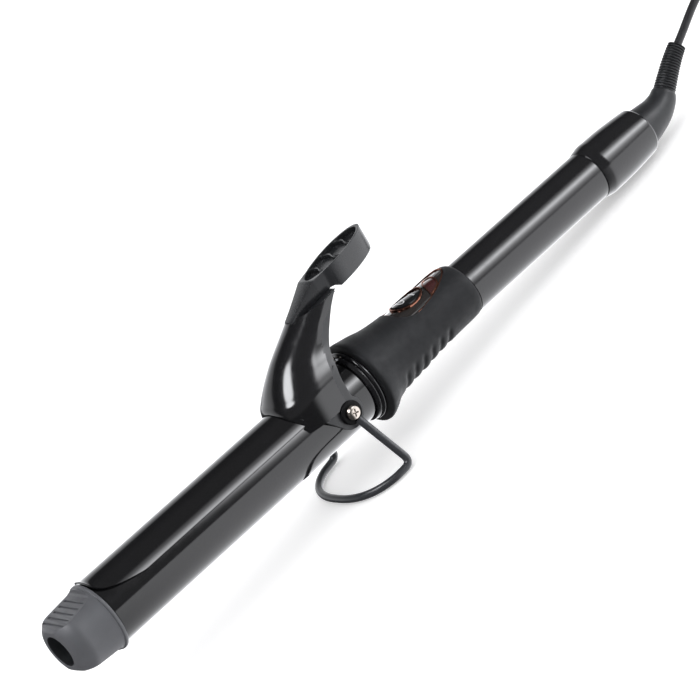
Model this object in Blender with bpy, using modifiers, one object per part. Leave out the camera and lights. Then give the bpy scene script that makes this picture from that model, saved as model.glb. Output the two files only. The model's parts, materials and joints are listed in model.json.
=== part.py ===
"""A corded curling iron, built from the separate pieces it comes apart into.

Every shape is drawn in the iron's own frame, in millimetres: X runs along the barrel from
the cool tip to the cord, Y points away from the side with the open screw head, Z is the
thumb-lever side, and the origin is where the clamp's pivot crosses the barrel's axis. One
empty then sets the iron down as it stands in use, on the wire stand and the rear cap.
"""
import math

import bmesh
import bpy
from mathutils import Euler, Matrix, Vector

MM = 0.001
GAP = 0.3                      # clearance between pieces that touch

# Stations along the barrel's axis
TIP_FACE = -171.4
TIP_FLANGE = -148.4
BARREL_FRONT = -146.6
BARREL_END = 25.6
BEZEL_FRONT = 15.6
GRIP_FRONT = 21.0
GRIP_END = 93.0
TUBE_END = 186.0
CAP_END = 224.0

# Radii and wall thicknesses
BARREL_R = 16.0
BARREL_WALL = 1.2
CLAMP_R = 16.4
CLAMP_WALL = 1.0
CLAMP_HALF_ANGLE = 62.0
CLAMP_REAR = -3.0              # ends short of the pivot, so that it clears the barrel when it opens
TUBE_R = 12.9
TUBE_CORE_R = 12.0
TUBE_BORE_R = 10.7
CAP_REAR_R = 12.6
SWIVEL_R = 10.7

# Clamp lever and thumb pad
EAR_INNER = 16.4
EAR_OUTER = 18.4
EAR_R = 8.4
LEVER_WALL = 2.0
PAD_HALF_WIDTH = 9.2
PAD_TOP_SLOPE = math.radians(7.7)
SADDLE_REAR = -0.8
RIVET_STATIONS = (-15.0, -5.0)
RIVET_R = 1.25
LEVER_NOSE = 0.66              # share of the lever's depth taken by its rounded front
SPRING_X = 15.0

# Wire stand
WIRE_R = 1.9
EYELET_Y = 19.7
STAND_CORNER = (7.1, 31.0, -32.9)
STAND_DEPTH = 26.3
STAND_ROUNDNESS = 2.43

# Power switch
ROCKER_X = 65.0
ROCKER_PIVOT_Z = 11.4
ROCKER_REST_TILT = math.radians(4.0)
LED_X = 80.5
WINDOW_X = 70.5
WINDOW_HALF = (19.2, 10.5)
WINDOW_TAPER = 0.25            # the window narrows towards the cord
TRIM_WALL = 0.7
PANEL_LIFT = 1.0               # the grip and its panel sit this much above the axis

# Cord, in the standing frame measured from the pivot
CORD_R = 2.1
COIL_X = 432.0
COIL_R_IN = 17.7
COIL_R_OUT = 30.7
COIL_Z = (1.0, 17.6)
PLUG_X = 400.0
PLUG_Y = COIL_R_OUT + CORD_R + GAP
PLUG_HALF = (18.0, 17.2, 6.85)
FRAME_X = -49.51               # puts the origin under the middle of the iron's length

# The iron leans so that the stand's foot and the rear cap's edge share one plane
_reach = CAP_END - STAND_CORNER[0]
_drop = -STAND_CORNER[2] - CAP_REAR_R
TILT = math.atan2(_drop, _reach) + math.asin(WIRE_R / math.hypot(_reach, _drop))
PIVOT_HEIGHT = CAP_END * math.sin(TILT) + CAP_REAR_R * math.cos(TILT)

MATERIALS = {
    "gloss_black": ((0.012, 0.012, 0.013), 0.12, 0.0),
    "matte_black": ((0.020, 0.021, 0.023), 0.55, 0.0),
    "rubber": ((0.030, 0.031, 0.034), 0.75, 0.0),
    "grey_nylon": ((0.135, 0.135, 0.145), 0.60, 0.0),
    "aluminium": ((0.60, 0.61, 0.63), 0.35, 1.0),
    "steel": ((0.62, 0.62, 0.62), 0.22, 1.0),
    "brass": ((0.75, 0.55, 0.25), 0.30, 1.0),
    "copper": ((0.72, 0.36, 0.22), 0.20, 1.0),
    "ceramic": ((0.80, 0.78, 0.72), 0.60, 0.0),
    "mica": ((0.55, 0.47, 0.35), 0.50, 0.0),
    "led_red": ((0.25, 0.01, 0.01), 0.15, 0.0),
    "board": ((0.05, 0.20, 0.08), 0.45, 0.0),
    "wire_red": ((0.45, 0.05, 0.04), 0.45, 0.0),
    "wire_blue": ((0.04, 0.12, 0.45), 0.45, 0.0),
    "cord_pvc": ((0.016, 0.016, 0.018), 0.45, 0.0),
}


# ---------------------------------------------------------------- set-up

for old in list(bpy.data.objects):
    bpy.data.objects.remove(old, do_unlink=True)

parts = bpy.data.collections.new("curling_iron")
cutters = bpy.data.collections.new("cutters")
guides = bpy.data.collections.new("guides")
for group in (parts, cutters, guides):
    bpy.context.scene.collection.children.link(group)


def make_material(name):
    colour, roughness, metallic = MATERIALS[name]
    mat = bpy.data.materials.new(name)
    mat.use_nodes = True
    shader = mat.node_tree.nodes["Principled BSDF"]
    shader.inputs["Base Color"].default_value = (*colour, 1.0)
    shader.inputs["Roughness"].default_value = roughness
    shader.inputs["Metallic"].default_value = metallic
    return mat


looks = {name: make_material(name) for name in MATERIALS}


def make_hinge(name, x=0.0, y=0.0, z=0.0, parent=None):
    """An empty on a joint's axis; the pieces that move with it hang from it."""
    empty = bpy.data.objects.new(name, None)
    empty.empty_display_size = 0.01
    empty.location = Vector((x, y, z)) * MM
    empty.parent = parent
    guides.objects.link(empty)
    return empty


iron = make_hinge("iron_frame", FRAME_X, 0.0, PIVOT_HEIGHT)
iron.rotation_euler = Euler((0.0, TILT, 0.0))
clamp_hinge = make_hinge("clamp_hinge", parent=iron)
stand_hinge = make_hinge("stand_hinge", parent=iron)
rocker_hinge = make_hinge("rocker_hinge", ROCKER_X, 0.0, ROCKER_PIVOT_Z, iron)
swivel_hinge = make_hinge("swivel_hinge", CAP_END, 0.0, 0.0, iron)
table = make_hinge("table_frame", FRAME_X)


def move_to(obj, group):
    for old_group in list(obj.users_collection):
        old_group.objects.unlink(obj)
    group.objects.link(obj)


def cutters_of(obj):
    """The shapes that cut or join an object, and theirs in turn."""
    found = []
    for mod in obj.modifiers:
        if mod.type == "BOOLEAN" and mod.object is not None:
            found.append(mod.object)
            found.extend(cutters_of(mod.object))
    return found


def keep(obj, name, look, hinge=iron):
    """Name a finished piece, give it its material and hang it, with its cutters, on its hinge."""
    obj.name = name
    obj.data.name = name
    obj.data.materials.clear()
    obj.data.materials.append(looks[look])
    for piece in [obj] + cutters_of(obj):
        piece.parent = hinge
        if hinge not in (iron, table):
            piece.location = piece.location - hinge.location
    move_to(obj, parts)
    obj.data.shade_smooth()
    obj.data.set_sharp_from_angle(angle=math.radians(32.0))
    return obj


def boolean(obj, other, operation):
    other.hide_render = True
    other.display_type = "WIRE"
    move_to(other, cutters)
    mod = obj.modifiers.new(operation.lower(), "BOOLEAN")
    mod.operation = operation
    mod.solver = "EXACT"
    mod.object = other
    return obj


def cut(obj, *others):
    for other in others:
        boolean(obj, other, "DIFFERENCE")
    return obj


def join(obj, *others):
    for other in others:
        boolean(obj, other, "UNION")
    return obj


def common(obj, other):
    return boolean(obj, other, "INTERSECT")


# ---------------------------------------------------------------- shapes, sizes in mm

def new_object(name, mesh):
    obj = bpy.data.objects.new(name, mesh)
    parts.objects.link(obj)
    return obj


def from_bmesh(name, bm):
    mesh = bpy.data.meshes.new(name)
    bm.to_mesh(mesh)
    bm.free()
    return new_object(name, mesh)


def tidy_mesh(obj):
    """Read the evaluated shape as one welded mesh whose faces point outwards."""
    bpy.context.view_layer.update()
    evaluated = obj.evaluated_get(bpy.context.evaluated_depsgraph_get())
    mesh = bpy.data.meshes.new_from_object(evaluated)
    bm = bmesh.new()
    bm.from_mesh(mesh)
    bmesh.ops.remove_doubles(bm, verts=bm.verts, dist=0.00001)
    bmesh.ops.recalc_face_normals(bm, faces=bm.faces)
    bm.to_mesh(mesh)
    bm.free()
    mesh.transform(obj.matrix_world)
    name = obj.name
    for used in cutters_of(obj) + [obj]:
        bpy.data.objects.remove(used, do_unlink=True)
    return new_object(name, mesh)


def turned(name, profile, segments=40):
    """Turn (station, radius) points round the X axis. A profile off the axis is closed."""
    bm = bmesh.new()
    verts = [bm.verts.new((x * MM, 0.0, r * MM)) for x, r in profile]
    edges = list(zip(verts, verts[1:]))
    if profile[0][1] > 0.0:
        edges.append((verts[-1], verts[0]))
    for pair in edges:
        bm.edges.new(pair)
    obj = from_bmesh(name, bm)
    screw = obj.modifiers.new("turn", "SCREW")
    screw.axis = "X"
    screw.steps = segments
    screw.render_steps = segments
    screw.use_merge_vertices = True
    screw.merge_threshold = 0.00001
    return tidy_mesh(obj)


def ring(name, x0, x1, r_in, r_out, segments=40):
    return turned(name, [(x0, r_out), (x1, r_out), (x1, r_in), (x0, r_in)], segments)


def rod(name, start, end, radius, segments=16):
    """A plain round bar between two points."""
    start, end = Vector(start) * MM, Vector(end) * MM
    axis = end - start
    bm = bmesh.new()
    place = Matrix.Translation((start + end) / 2) @ axis.to_track_quat("Z", "Y").to_matrix().to_4x4()
    bmesh.ops.create_cone(bm, cap_ends=True, segments=segments, radius1=radius * MM,
                          radius2=radius * MM, depth=axis.length, matrix=place)
    return from_bmesh(name, bm)


def block(name, x, y, z):
    """A box from its three (low, high) pairs."""
    bm = bmesh.new()
    centre = [(low + high) / 2 * MM for low, high in (x, y, z)]
    size = [(high - low) * MM for low, high in (x, y, z)]
    place = Matrix.Translation(centre) @ Matrix.Diagonal((*size, 1.0))
    bmesh.ops.create_cube(bm, size=1.0, matrix=place)
    return from_bmesh(name, bm)


def plate(name, outline, low, high, plane="side"):
    """Extrude a closed outline. side: (x, z) points, low..high along Y; plan: (x, y) points,
    low..high along Z; end: (y, z) points, low..high along X."""
    curve = bpy.data.curves.new(name, "CURVE")
    curve.dimensions = "2D"
    curve.fill_mode = "BOTH"
    curve.extrude = (high - low) / 2 * MM
    spline = curve.splines.new("POLY")
    spline.points.add(len(outline) - 1)
    for point, (a, b) in zip(spline.points, outline):
        point.co = (a * MM, b * MM, 0.0, 1.0)
    spline.use_cyclic_u = True
    obj = bpy.data.objects.new(name, curve)
    parts.objects.link(obj)
    middle = (low + high) / 2 * MM
    if plane == "side":
        obj.rotation_euler = (math.pi / 2, 0.0, 0.0)
        obj.location = (0.0, middle, 0.0)
    elif plane == "plan":
        obj.location = (0.0, 0.0, middle)
    else:
        obj.rotation_euler = (math.pi / 2, 0.0, math.pi / 2)
        obj.location = (middle, 0.0, 0.0)
    return tidy_mesh(obj)


def wire(name, points, radius, resolution=2):
    """A round wire or tube along points, with flat ends."""
    curve = bpy.data.curves.new(name, "CURVE")
    curve.dimensions = "3D"
    curve.bevel_depth = radius * MM
    curve.bevel_resolution = resolution
    curve.use_fill_caps = True
    spline = curve.splines.new("POLY")
    spline.points.add(len(points) - 1)
    for point, place in zip(spline.points, points):
        point.co = (*(Vector(place) * MM), 1.0)
    obj = bpy.data.objects.new(name, curve)
    parts.objects.link(obj)
    return tidy_mesh(obj)


def strip(name, path, width, thickness):
    """A flat spring strip whose side view follows (x, z) points."""
    bm = bmesh.new()
    rows = [[bm.verts.new((x * MM, y * MM, z * MM)) for y in (-width / 2, width / 2)] for x, z in path]
    for (a, b), (c, d) in zip(rows, rows[1:]):
        bm.faces.new((a, b, d, c))
    obj = from_bmesh(name, bm)
    solid = obj.modifiers.new("gauge", "SOLIDIFY")
    solid.thickness = thickness * MM
    solid.offset = 0.0
    return tidy_mesh(obj)


def loft(name, sections, thickness):
    """A wall through open sections of equal point count, thickened on its inner side."""
    bm = bmesh.new()
    rows = [[bm.verts.new(Vector(p) * MM) for p in section] for section in sections]
    for lower, upper in zip(rows, rows[1:]):
        for a, b, c, d in zip(lower, lower[1:], upper[1:], upper):
            bm.faces.new((a, b, c, d))
    obj = from_bmesh(name, bm)
    solid = obj.modifiers.new("wall", "SOLIDIFY")
    solid.thickness = thickness * MM
    solid.offset = -1.0
    solid.use_even_offset = True
    return tidy_mesh(obj)


def arc(cx, cy, radius, start, end, steps):
    """Points on an arc, angles in degrees."""
    turns = [math.radians(start + (end - start) * i / steps) for i in range(steps + 1)]
    return [(cx + radius * math.cos(t), cy + radius * math.sin(t)) for t in turns]


def oval(cx, half_x, half_y, steps=36, power=2.0):
    """A closed oval; a power above 2 squares it off."""
    points = []
    for i in range(steps):
        t = math.tau * i / steps
        c, s = math.cos(t), math.sin(t)
        points.append((cx + half_x * math.copysign(abs(c) ** (2 / power), c),
                       half_y * math.copysign(abs(s) ** (2 / power), s)))
    return points


def smooth_curve(knots, spacing):
    """A Catmull-Rom curve through knots, read off at an even spacing in mm."""
    knots = [Vector(k) for k in knots]
    ends = [2 * knots[0] - knots[1]] + knots + [2 * knots[-1] - knots[-2]]
    fine = []
    for a, b, c, d in zip(ends, ends[1:], ends[2:], ends[3:]):
        for i in range(24):
            t = i / 24
            fine.append(0.5 * (2 * b + (c - a) * t + (2 * a - 5 * b + 4 * c - d) * t * t
                               + (3 * b - a - 3 * c + d) * t ** 3))
    fine.append(knots[-1])
    lengths = [0.0]
    for a, b in zip(fine, fine[1:]):
        lengths.append(lengths[-1] + (b - a).length)
    count = max(2, round(lengths[-1] / spacing))
    result, k = [], 0
    for i in range(count + 1):
        want = lengths[-1] * i / count
        while k < len(lengths) - 2 and lengths[k + 1] < want:
            k += 1
        share = (want - lengths[k]) / max(lengths[k + 1] - lengths[k], 1e-9)
        result.append(tuple(fine[k].lerp(fine[k + 1], min(max(share, 0.0), 1.0))))
    return result


def rounded(points, corner, radius, steps=5):
    """The same points with the sharp one at index corner replaced by a fillet."""
    p, q, r = (Vector(points[corner + i]) for i in (-1, 0, 1))
    inward, outward = (p - q).normalized(), (r - q).normalized()
    start, end = q + inward * radius, q + outward * radius
    fillet = []
    for i in range(steps + 1):
        t = i / steps
        fillet.append(tuple((1 - t) ** 2 * start + 2 * t * (1 - t) * q + t * t * end))
    return points[:corner] + fillet + points[corner + 1:]


def screw(name, seat, direction, head_r, head_h, shank_r, length, recess=0.55):
    """A pan-head machine screw: seat is the point under its head, direction runs down the shank."""
    seat, direction = Vector(seat), Vector(direction).normalized()
    side = direction.orthogonal().normalized()
    body = rod(name, seat - direction * head_h, seat, head_r, 24)
    edge = body.modifiers.new("dome", "BEVEL")
    edge.width = head_h * 0.4 * MM
    edge.segments = 2
    edge.limit_method = "ANGLE"
    body = tidy_mesh(body)
    join(body, rod(name + "_shank", seat - direction * head_h * 0.5, seat + direction * length, shank_r, 12))
    for turn in (0.0, math.pi / 2):
        arm = Matrix.Rotation(turn, 3, direction) @ side * head_r * recess
        bm = bmesh.new()
        top = seat - direction * head_h
        frame = Matrix.Translation(top * MM) @ arm.to_track_quat("X", "Z").to_matrix().to_4x4()
        depth_axis = frame.to_3x3().inverted() @ direction
        size = [arm.length * 2, head_r * 0.22, head_r * 0.22]
        deep = max(range(3), key=lambda k: abs(depth_axis[k]))
        size[deep] = head_h * 1.1
        bmesh.ops.create_cube(bm, size=1.0, matrix=frame @ Matrix.Diagonal((*[s * MM for s in size], 1.0)))
        cut(body, from_bmesh(name + "_slot", bm))
    return body


# ---------------------------------------------------------------- heated barrel

def build_tip():
    """The cool tip: a turned cap with two ribbed finger pads and a deep screw well."""
    profile = [(TIP_FACE, 8.0), (TIP_FACE, 11.2)]
    profile += [(x, r) for x, r in arc(TIP_FACE + 5.4, 11.2, 5.4, 170, 95, 5)]
    profile += [(TIP_FLANGE, 16.8), (TIP_FLANGE, 17.3), (TIP_FLANGE + 0.4, 17.7),
                (TIP_FLANGE + 1.1, 17.7), (TIP_FLANGE + 1.5, 17.3), (TIP_FLANGE + 1.5, 14.5),
                (TIP_FLANGE + 10.0, 14.5), (TIP_FLANGE + 10.0, 2.2), (TIP_FACE + 14.0, 2.2),
                (TIP_FACE + 14.0, 7.8)]
    tip = turned("tip", profile)
    for side in (1, -1):
        pad = [(-169.5, 11.8), (-151.0, 13.6), (-150.0, 14.6), (-150.0, 19.0), (-176.0, 19.0), (-176.0, 11.2)]
        cut(tip, plate("pad_flat", [(x, side * z) for x, z in pad], -14.0, 14.0))
        for i in range(4):
            x = -165.6 + 3.4 * i
            z = side * (12.05 + 0.33 * i)
            depth = sorted((z - side * 1.0, z + side * 3.0))
            cut(tip, block("pad_groove", (x - 0.55, x + 0.55), (-9.5, 9.5), depth))
    keep(tip, "cool_tip", "grey_nylon")
    well = TIP_FACE + 14.0
    keep(screw("tip_screw", (well - GAP, 0, 0), (1, 0, 0), 3.6, 2.2, 1.7, 30.0), "tip_screw", "steel")


def build_barrel():
    tube = ring("barrel", BARREL_FRONT, BARREL_END, BARREL_R - BARREL_WALL, BARREL_R)
    cut(tube, rod("pivot_holes", (0, -20, 0), (0, 20, 0), 2.3),
        rod("spring_hole", (SPRING_X, 0, 10), (SPRING_X, 0, 20), 1.6))
    keep(tube, "barrel_tube", "gloss_black")

    bulkhead = ring("bulkhead", -134.0, -129.0, 2.0, 14.4, 32)
    keep(bulkhead, "front_bulkhead", "steel")

    # Two half-round aluminium spreaders hold the heater plates between them
    for name, side in (("upper_heat_spreader", 1), ("lower_heat_spreader", -1)):
        outline = [(side * y, side * z) for y, z in arc(0, 0, 14.4, 12.5, 167.5, 18)]
        keep(plate(name, outline, -124.0, -20.0, "end"), name, "aluminium")
    for name, z in (("upper_electrode", 2.2), ("lower_electrode", -2.6)):
        keep(block(name, (-122.0, -12.0), (-7.0, 7.0), (z, z + 0.4)), name, "brass")
    for name, start in (("front_heater_stone", -116.0), ("rear_heater_stone", -66.0)):
        keep(block(name, (start, start + 42.0), (-6.5, 6.5), (-1.8, 1.8)), name, "ceramic")
    fuse = rod("fuse", (-18.0, 0.0, -8.0), (-10.0, 0.0, -8.0), 2.0)
    keep(fuse, "thermal_fuse", "steel")
    shield = ring("shield", -9.0, -8.4, 1.0, 14.4, 32)
    cut(shield, block("wire_slot", (-10, -8), (-6, 6), (-11.5, -5.0)),
        block("wire_slot", (-10, -8), (-9, 9), (0.4, 3.4)))
    keep(shield, "mica_heat_shield", "mica")

    bracket = block("bracket", (-6.5, 6.5), (-13.4, 13.4), (-4.6, 4.6))
    cut(bracket, rod("tapped_hole", (0, -20, 0), (0, 20, 0), 2.2))
    keep(bracket, "pivot_bracket", "steel")
    nut = block("nut", (SPRING_X - 2.8, SPRING_X + 2.8), (-2.8, 2.8), (11.6, 14.0))
    cut(nut, rod("nut_hole", (SPRING_X, 0, 10), (SPRING_X, 0, 20), 1.6))
    keep(nut, "spring_screw_nut", "steel")


# ---------------------------------------------------------------- clamp

def clamp_outline():
    """Plan of the clamp plate: parallel sides and a boat-shaped front edge."""
    half = 19.0
    front = []
    for i in range(-12, 13):
        share = i / 12
        angle = math.radians(CLAMP_HALF_ANGLE * share)
        front.append((-146.2 + 25.0 * abs(share) ** 4.5, (CLAMP_R + 1.0) * math.sin(angle)))
    front[0] = (front[0][0], -half)
    front[-1] = (front[-1][0], half)
    return front + [(CLAMP_REAR, half), (CLAMP_REAR, -half)]


def build_clamp_plate():
    start = math.radians(-CLAMP_HALF_ANGLE)
    # stations and how far the front lip flares there
    profile = [(-147.0, 1.0), (-145.2, 0.55), (-143.2, 0.12), (-141.0, 0.0), (-100.0, 0.0), (-50.0, 0.0),
               (3.0, 0.0)]
    sections = []
    for i in range(25):
        angle = start * (1 - i / 12)
        row = []
        for x, flare in profile:
            radius = CLAMP_R + CLAMP_WALL + flare
            row.append((x, radius * math.sin(angle), radius * math.cos(angle)))
        sections.append(row)
    sheet = loft("sheet", sections, CLAMP_WALL)
    common(sheet, plate("clamp_plan", clamp_outline(), 5.0, 25.0, "plan"))
    cut(sheet, *[rod("rivet_hole", (x, 0, 10), (x, 0, 25), 1.35) for x in RIVET_STATIONS])
    keep(sheet, "clamp_plate", "gloss_black", clamp_hinge)


LEVER_STATIONS = (
    # front point, back point, half width, squareness
    ((-25.6, 4.0), (4.6, 4.0), 17.7, 2.5),
    ((-24.6, 15.0), (5.0, 15.0), 17.5, 2.5),
    ((-22.2, 19.5), (6.8, 20.0), 16.4, 2.4),
    ((-17.2, 25.5), (9.2, 25.0), 14.0, 2.2),
    ((-9.8, 32.0), (12.6, 29.5), 11.6, 2.1),
    ((-1.0, 37.4), (17.0, 34.5), 10.4, 2.0),
    ((5.0, 40.6), (23.6, 41.0), 9.7, 2.0),
    ((10.0, 43.6), (31.0, 46.6), 9.0, 2.0),
)


def lever_section(front, back, half, power):
    """A U, nose forward: straight flanks behind and a superelliptic nose."""
    front, back = Vector(front), Vector(back)
    run = back - front
    points = [(back.x, half, back.y)]
    for i in range(11):
        t = math.pi / 2 - math.pi * i / 10
        c, s = math.cos(t), math.sin(t)
        along = LEVER_NOSE * (1 - abs(c) ** (2 / power))
        across = half * math.copysign(abs(s) ** (2 / power), s)
        spot = front + run * along
        points.append((spot.x, across, spot.y))
    points.append((back.x, -half, back.y))
    return points


def ear_outline():
    """Side view of an ear: a round eye at the pivot rising into the lever's flank."""
    eye = arc(0, 0, EAR_R, 215, 385, 10)
    rear = [(4.6, 10.0), (4.4, 15.0), (6.4, 20.5), (2.0, 22.0)]
    return [(-16.5, 9.5), (-14.4, 4.6)] + eye + rear + [(-14.0, 18.0)]


def build_lever():
    body = loft("lever", [lever_section(*station) for station in LEVER_STATIONS], LEVER_WALL)
    for low, high in ((EAR_INNER, EAR_OUTER), (-EAR_OUTER, -EAR_INNER)):
        join(body, plate("ear", ear_outline(), low, high))
    saddle = arc(0, 0, 19.6, 35, 145, 12) + arc(0, 0, 17.2, 145, 35, 12)
    join(body, plate("saddle", saddle, -21.0, SADDLE_REAR, "end"))
    top = lever_section(*LEVER_STATIONS[-1])
    web = plate("top_web", [(x + 0.3, y * 0.95) for x, y, z in top], 40.0, 50.0, "plan")
    slope = math.atan2(46.6 - 43.6, 31.0 - 10.0)
    slab = block("web_slab", (-12.0, 12.0), (-12.0, 12.0), (-2.0, 0.0))
    slab.rotation_euler = (0.0, -slope, 0.0)
    slab.location = Vector((20.5, 0.0, 45.1)) * MM
    slab = tidy_mesh(slab)
    common(web, slab)
    join(body, tidy_mesh(web))
    cut(body, rod("clamp_room", (-60, 0, 0), (60, 0, 0), CLAMP_R + CLAMP_WALL + GAP, 64),
        rod("pivot_hole", (0, -30, 0), (0, 30, 0), 2.5),
        *[rod("rivet_hole", (x, 0, 10), (x, 0, 23), 1.35) for x in RIVET_STATIONS],
        rod("pad_screw_hole", (20.5 + 0.57, 0, 41.1), (19.5, 0, 52.0), 1.3))
    for mod in body.modifiers:
        mod.use_self = True
    keep(body, "clamp_lever", "gloss_black", clamp_hinge)

    for name, x in zip(("front_rivet", "rear_rivet"), RIVET_STATIONS):
        rivet = rod("rivet", (x, 0, CLAMP_R + 0.1), (x, 0, 20.5), RIVET_R, 12)
        join(rivet, rod("rivet_head", (x, 0, 19.9), (x, 0, 21.0), 2.4, 16))
        keep(rivet, name, "aluminium", clamp_hinge)


def build_thumb_pad():
    side = [(8.2, 43.75), (31.4, 47.05), (35.3, 46.4), (36.3, 44.8), (61.0, 47.8), (64.2, 50.5),
            (64.5, 58.6), (62.6, 59.45), (25.0, 54.4), (7.4, 45.4)]
    pad = plate("pad", side, -12.0, 12.0)
    plan = [(7.0, -5.2), (20.0, -7.8), (34.0, -PAD_HALF_WIDTH), (48.0, -PAD_HALF_WIDTH)]
    rear = [(48.0 + 16.6 * math.cos(t), PAD_HALF_WIDTH * math.sin(t))
            for t in (math.radians(-90 + 180 * i / 16) for i in range(1, 16))]
    plan += rear + [(48.0, PAD_HALF_WIDTH), (34.0, PAD_HALF_WIDTH), (20.0, 7.8), (7.0, 5.2)]
    common(pad, plate("pad_plan", plan, 38.0, 64.0, "plan"))
    # The oval thumb recess keeps three cross ribs
    well = plate("thumb_well", oval(0.0, 17.4, 7.4), -2.2, 3.0, "plan")
    for x in (-9.0, 0.0, 9.0):
        cut(well, block("rib", (x - 0.8, x + 0.8), (-12, 12), (-4, 4)))
    well = tidy_mesh(well)
    well.rotation_euler = (0.0, -PAD_TOP_SLOPE, 0.0)
    well.location = Vector((43.8, 0.0, 56.9)) * MM
    cut(pad, tidy_mesh(well), rod("pad_screw_bore", (20.8, 0, 44.0), (20.0, 0, 50.0), 1.3))
    keep(pad, "thumb_pad", "matte_black", clamp_hinge)
    lean = Vector((-0.141, 0.0, 0.990))
    seat = Vector((20.5 + 0.3, 0.0, 45.1)) - lean * 2.35
    keep(screw("pad_screw", seat, lean, 2.2, 1.4, 1.0, 6.4), "thumb_pad_screw", "steel", clamp_hinge)


def build_pivot():
    for name, side in (("pivot_screw_near", -1), ("pivot_screw_far", 1)):
        piece = screw(name, (0, side * (EYELET_Y + 1.3), 0), (0, -side, 0), 3.6, 2.2, 1.9, 12.0)
        keep(piece, name, "steel")


def build_spring():
    """A leaf spring: its foot is screwed to the barrel, its tongue bears on the lever's front wall."""
    path = [(SPRING_X + 2.8, 16.6), (8.0, 16.65), (4.8, 17.6), (2.2, 19.6), (-0.2, 22.6), (-2.4, 25.8),
            (-4.1, 28.0)]
    leaf = strip("leaf", path, 7.0, 0.5)
    cut(leaf, rod("leaf_hole", (SPRING_X, 0, 15), (SPRING_X, 0, 18), 1.6))
    keep(leaf, "leaf_spring", "steel")
    keep(screw("spring_screw", (SPRING_X, 0, 17.2), (0, 0, -1), 2.4, 1.6, 1.35, 4.6), "spring_screw", "steel")


# ---------------------------------------------------------------- wire stand

def stand_path():
    corner_x, corner_y, corner_z = STAND_CORNER
    loop = []
    steps = 22
    for i in range(steps + 1):
        t = math.pi * i / steps
        c, s = math.cos(t), math.sin(t)
        reach = STAND_DEPTH * abs(s) ** (2 / STAND_ROUNDNESS)
        across = corner_y * math.copysign(abs(c) ** (2 / STAND_ROUNDNESS), c)
        loop.append((corner_x - reach * math.cos(TILT), -across, corner_z - reach * math.sin(TILT)))
    near, far = (0.9, -EYELET_Y - 1.0, -4.2), (0.9, EYELET_Y + 1.0, -4.2)
    points = [near] + loop + [far]
    points = rounded(points, len(points) - 2, 3.6, 3)
    return rounded(points, 1, 3.6, 3)


def build_stand():
    stand = wire("stand", stand_path(), WIRE_R, 2)
    for side in (-1, 1):
        eye = rod("eye", (0, side * EYELET_Y - 1.0, 0), (0, side * EYELET_Y + 1.0, 0), 5.6, 24)
        join(stand, eye)
    cut(stand, rod("eye_hole", (0, -30, 0), (0, 30, 0), 2.3))
    keep(stand, "wire_stand", "matte_black", stand_hinge)


# ---------------------------------------------------------------- handle

def build_handle():
    bezel = turned("bezel", [(BEZEL_FRONT, 17.2), (17.7, 17.8), (17.9, 17.4), (18.3, 17.4), (18.6, 18.4),
                             (20.7, 18.4), (20.7, 16.3), (BEZEL_FRONT, 16.3)])
    cut(bezel, block("spring_notch", (BEZEL_FRONT - 1.0, 18.1), (-3.9, 3.9), (14.0, 20.0)))
    keep(bezel, "front_bezel", "gloss_black")

    collar = turned("collar", [(GRIP_FRONT, 17.0), (28.6, 17.0), (32.6, 10.4), (44.0, 10.4), (44.0, 8.6),
                               (30.0, 8.6), (26.0, 12.0), (26.0, 16.3), (GRIP_FRONT, 16.3)], 28)
    keep(collar, "barrel_collar", "matte_black")

    start, step, spigot = 34.0, GRIP_END + GAP, TUBE_END - GAP
    tube = turned("tube", [(start, TUBE_CORE_R), (step, TUBE_CORE_R), (step, TUBE_R), (spigot, TUBE_R),
                           (spigot, 11.9), (194.0, 11.9), (194.0, TUBE_BORE_R), (start, TUBE_BORE_R)])
    cut(tube, block("switch_opening", (55.5, 86.0), (-5.6, 5.6), (5.0, 16.0)))
    keep(tube, "handle_tube", "gloss_black")

    outside = [(GRIP_FRONT, 17.6), (GRIP_FRONT, 20.8), (21.8, 21.5), (23.4, 21.7), (26.0, 20.6), (31.0, 19.0),
               (38.0, 17.5), (45.0, 16.6), (52.0, 15.9), (60.0, 15.2), (70.0, 14.8), (80.0, 14.6),
               (91.6, 14.3), (GRIP_END - GAP, 13.7)]
    inside = [(GRIP_END - GAP, 12.3), (33.2, 12.3), (28.9, 17.3), (GRIP_FRONT, 17.3)]
    sleeve = turned("sleeve", outside + inside)
    for vert in sleeve.data.vertices:
        reach = math.hypot(vert.co.y, vert.co.z)
        share = min(max((vert.co.x / MM - 30.0) / 30.0, 0.0), 1.0)
        if reach > 12.4 * MM:
            vert.co.z += PANEL_LIFT * MM * share
    cut(sleeve, plate("window", window_outline(), 4.0, 22.0, "plan"))
    for i in range(6):
        x = 40.0 + 6.2 * i
        z = -(17.9 - 0.06 * (x - 40.0) - 0.9 * i / 5)
        cut(sleeve, rod("finger_groove", (x, -16, z), (x, 16, z), 2.0, 12))
    keep(sleeve, "rubber_grip", "rubber")


def window_outline(inset=0.0, steps=36):
    """The grip's window, squarer in front and narrowing towards the cord."""
    half_x, half_y = WINDOW_HALF[0] - inset, WINDOW_HALF[1] - inset
    points = []
    for i in range(steps):
        t = math.tau * i / steps
        c, s = math.cos(t), math.sin(t)
        power = 2.2 if c > 0 else 3.0
        along = math.copysign(abs(c) ** (2 / power), c)
        across = math.copysign(abs(s) ** (2 / power), s)
        points.append((WINDOW_X + half_x * along, half_y * (1 - WINDOW_TAPER * along) * across))
    return points


def oval_ring(name, cx, half, wall, low, high, steps):
    outer = plate(name, oval(cx, half[0], half[1], steps), low, high, "plan")
    inner = plate(name + "_hole", oval(cx, half[0] - wall, half[1] - wall, steps), low - 1, high + 1, "plan")
    return cut(outer, inner)


def crown(radius):
    """The round that tops the pieces in the grip's window."""
    return rod("crown", (40, 0, PANEL_LIFT), (100, 0, PANEL_LIFT), radius, 64)


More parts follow.
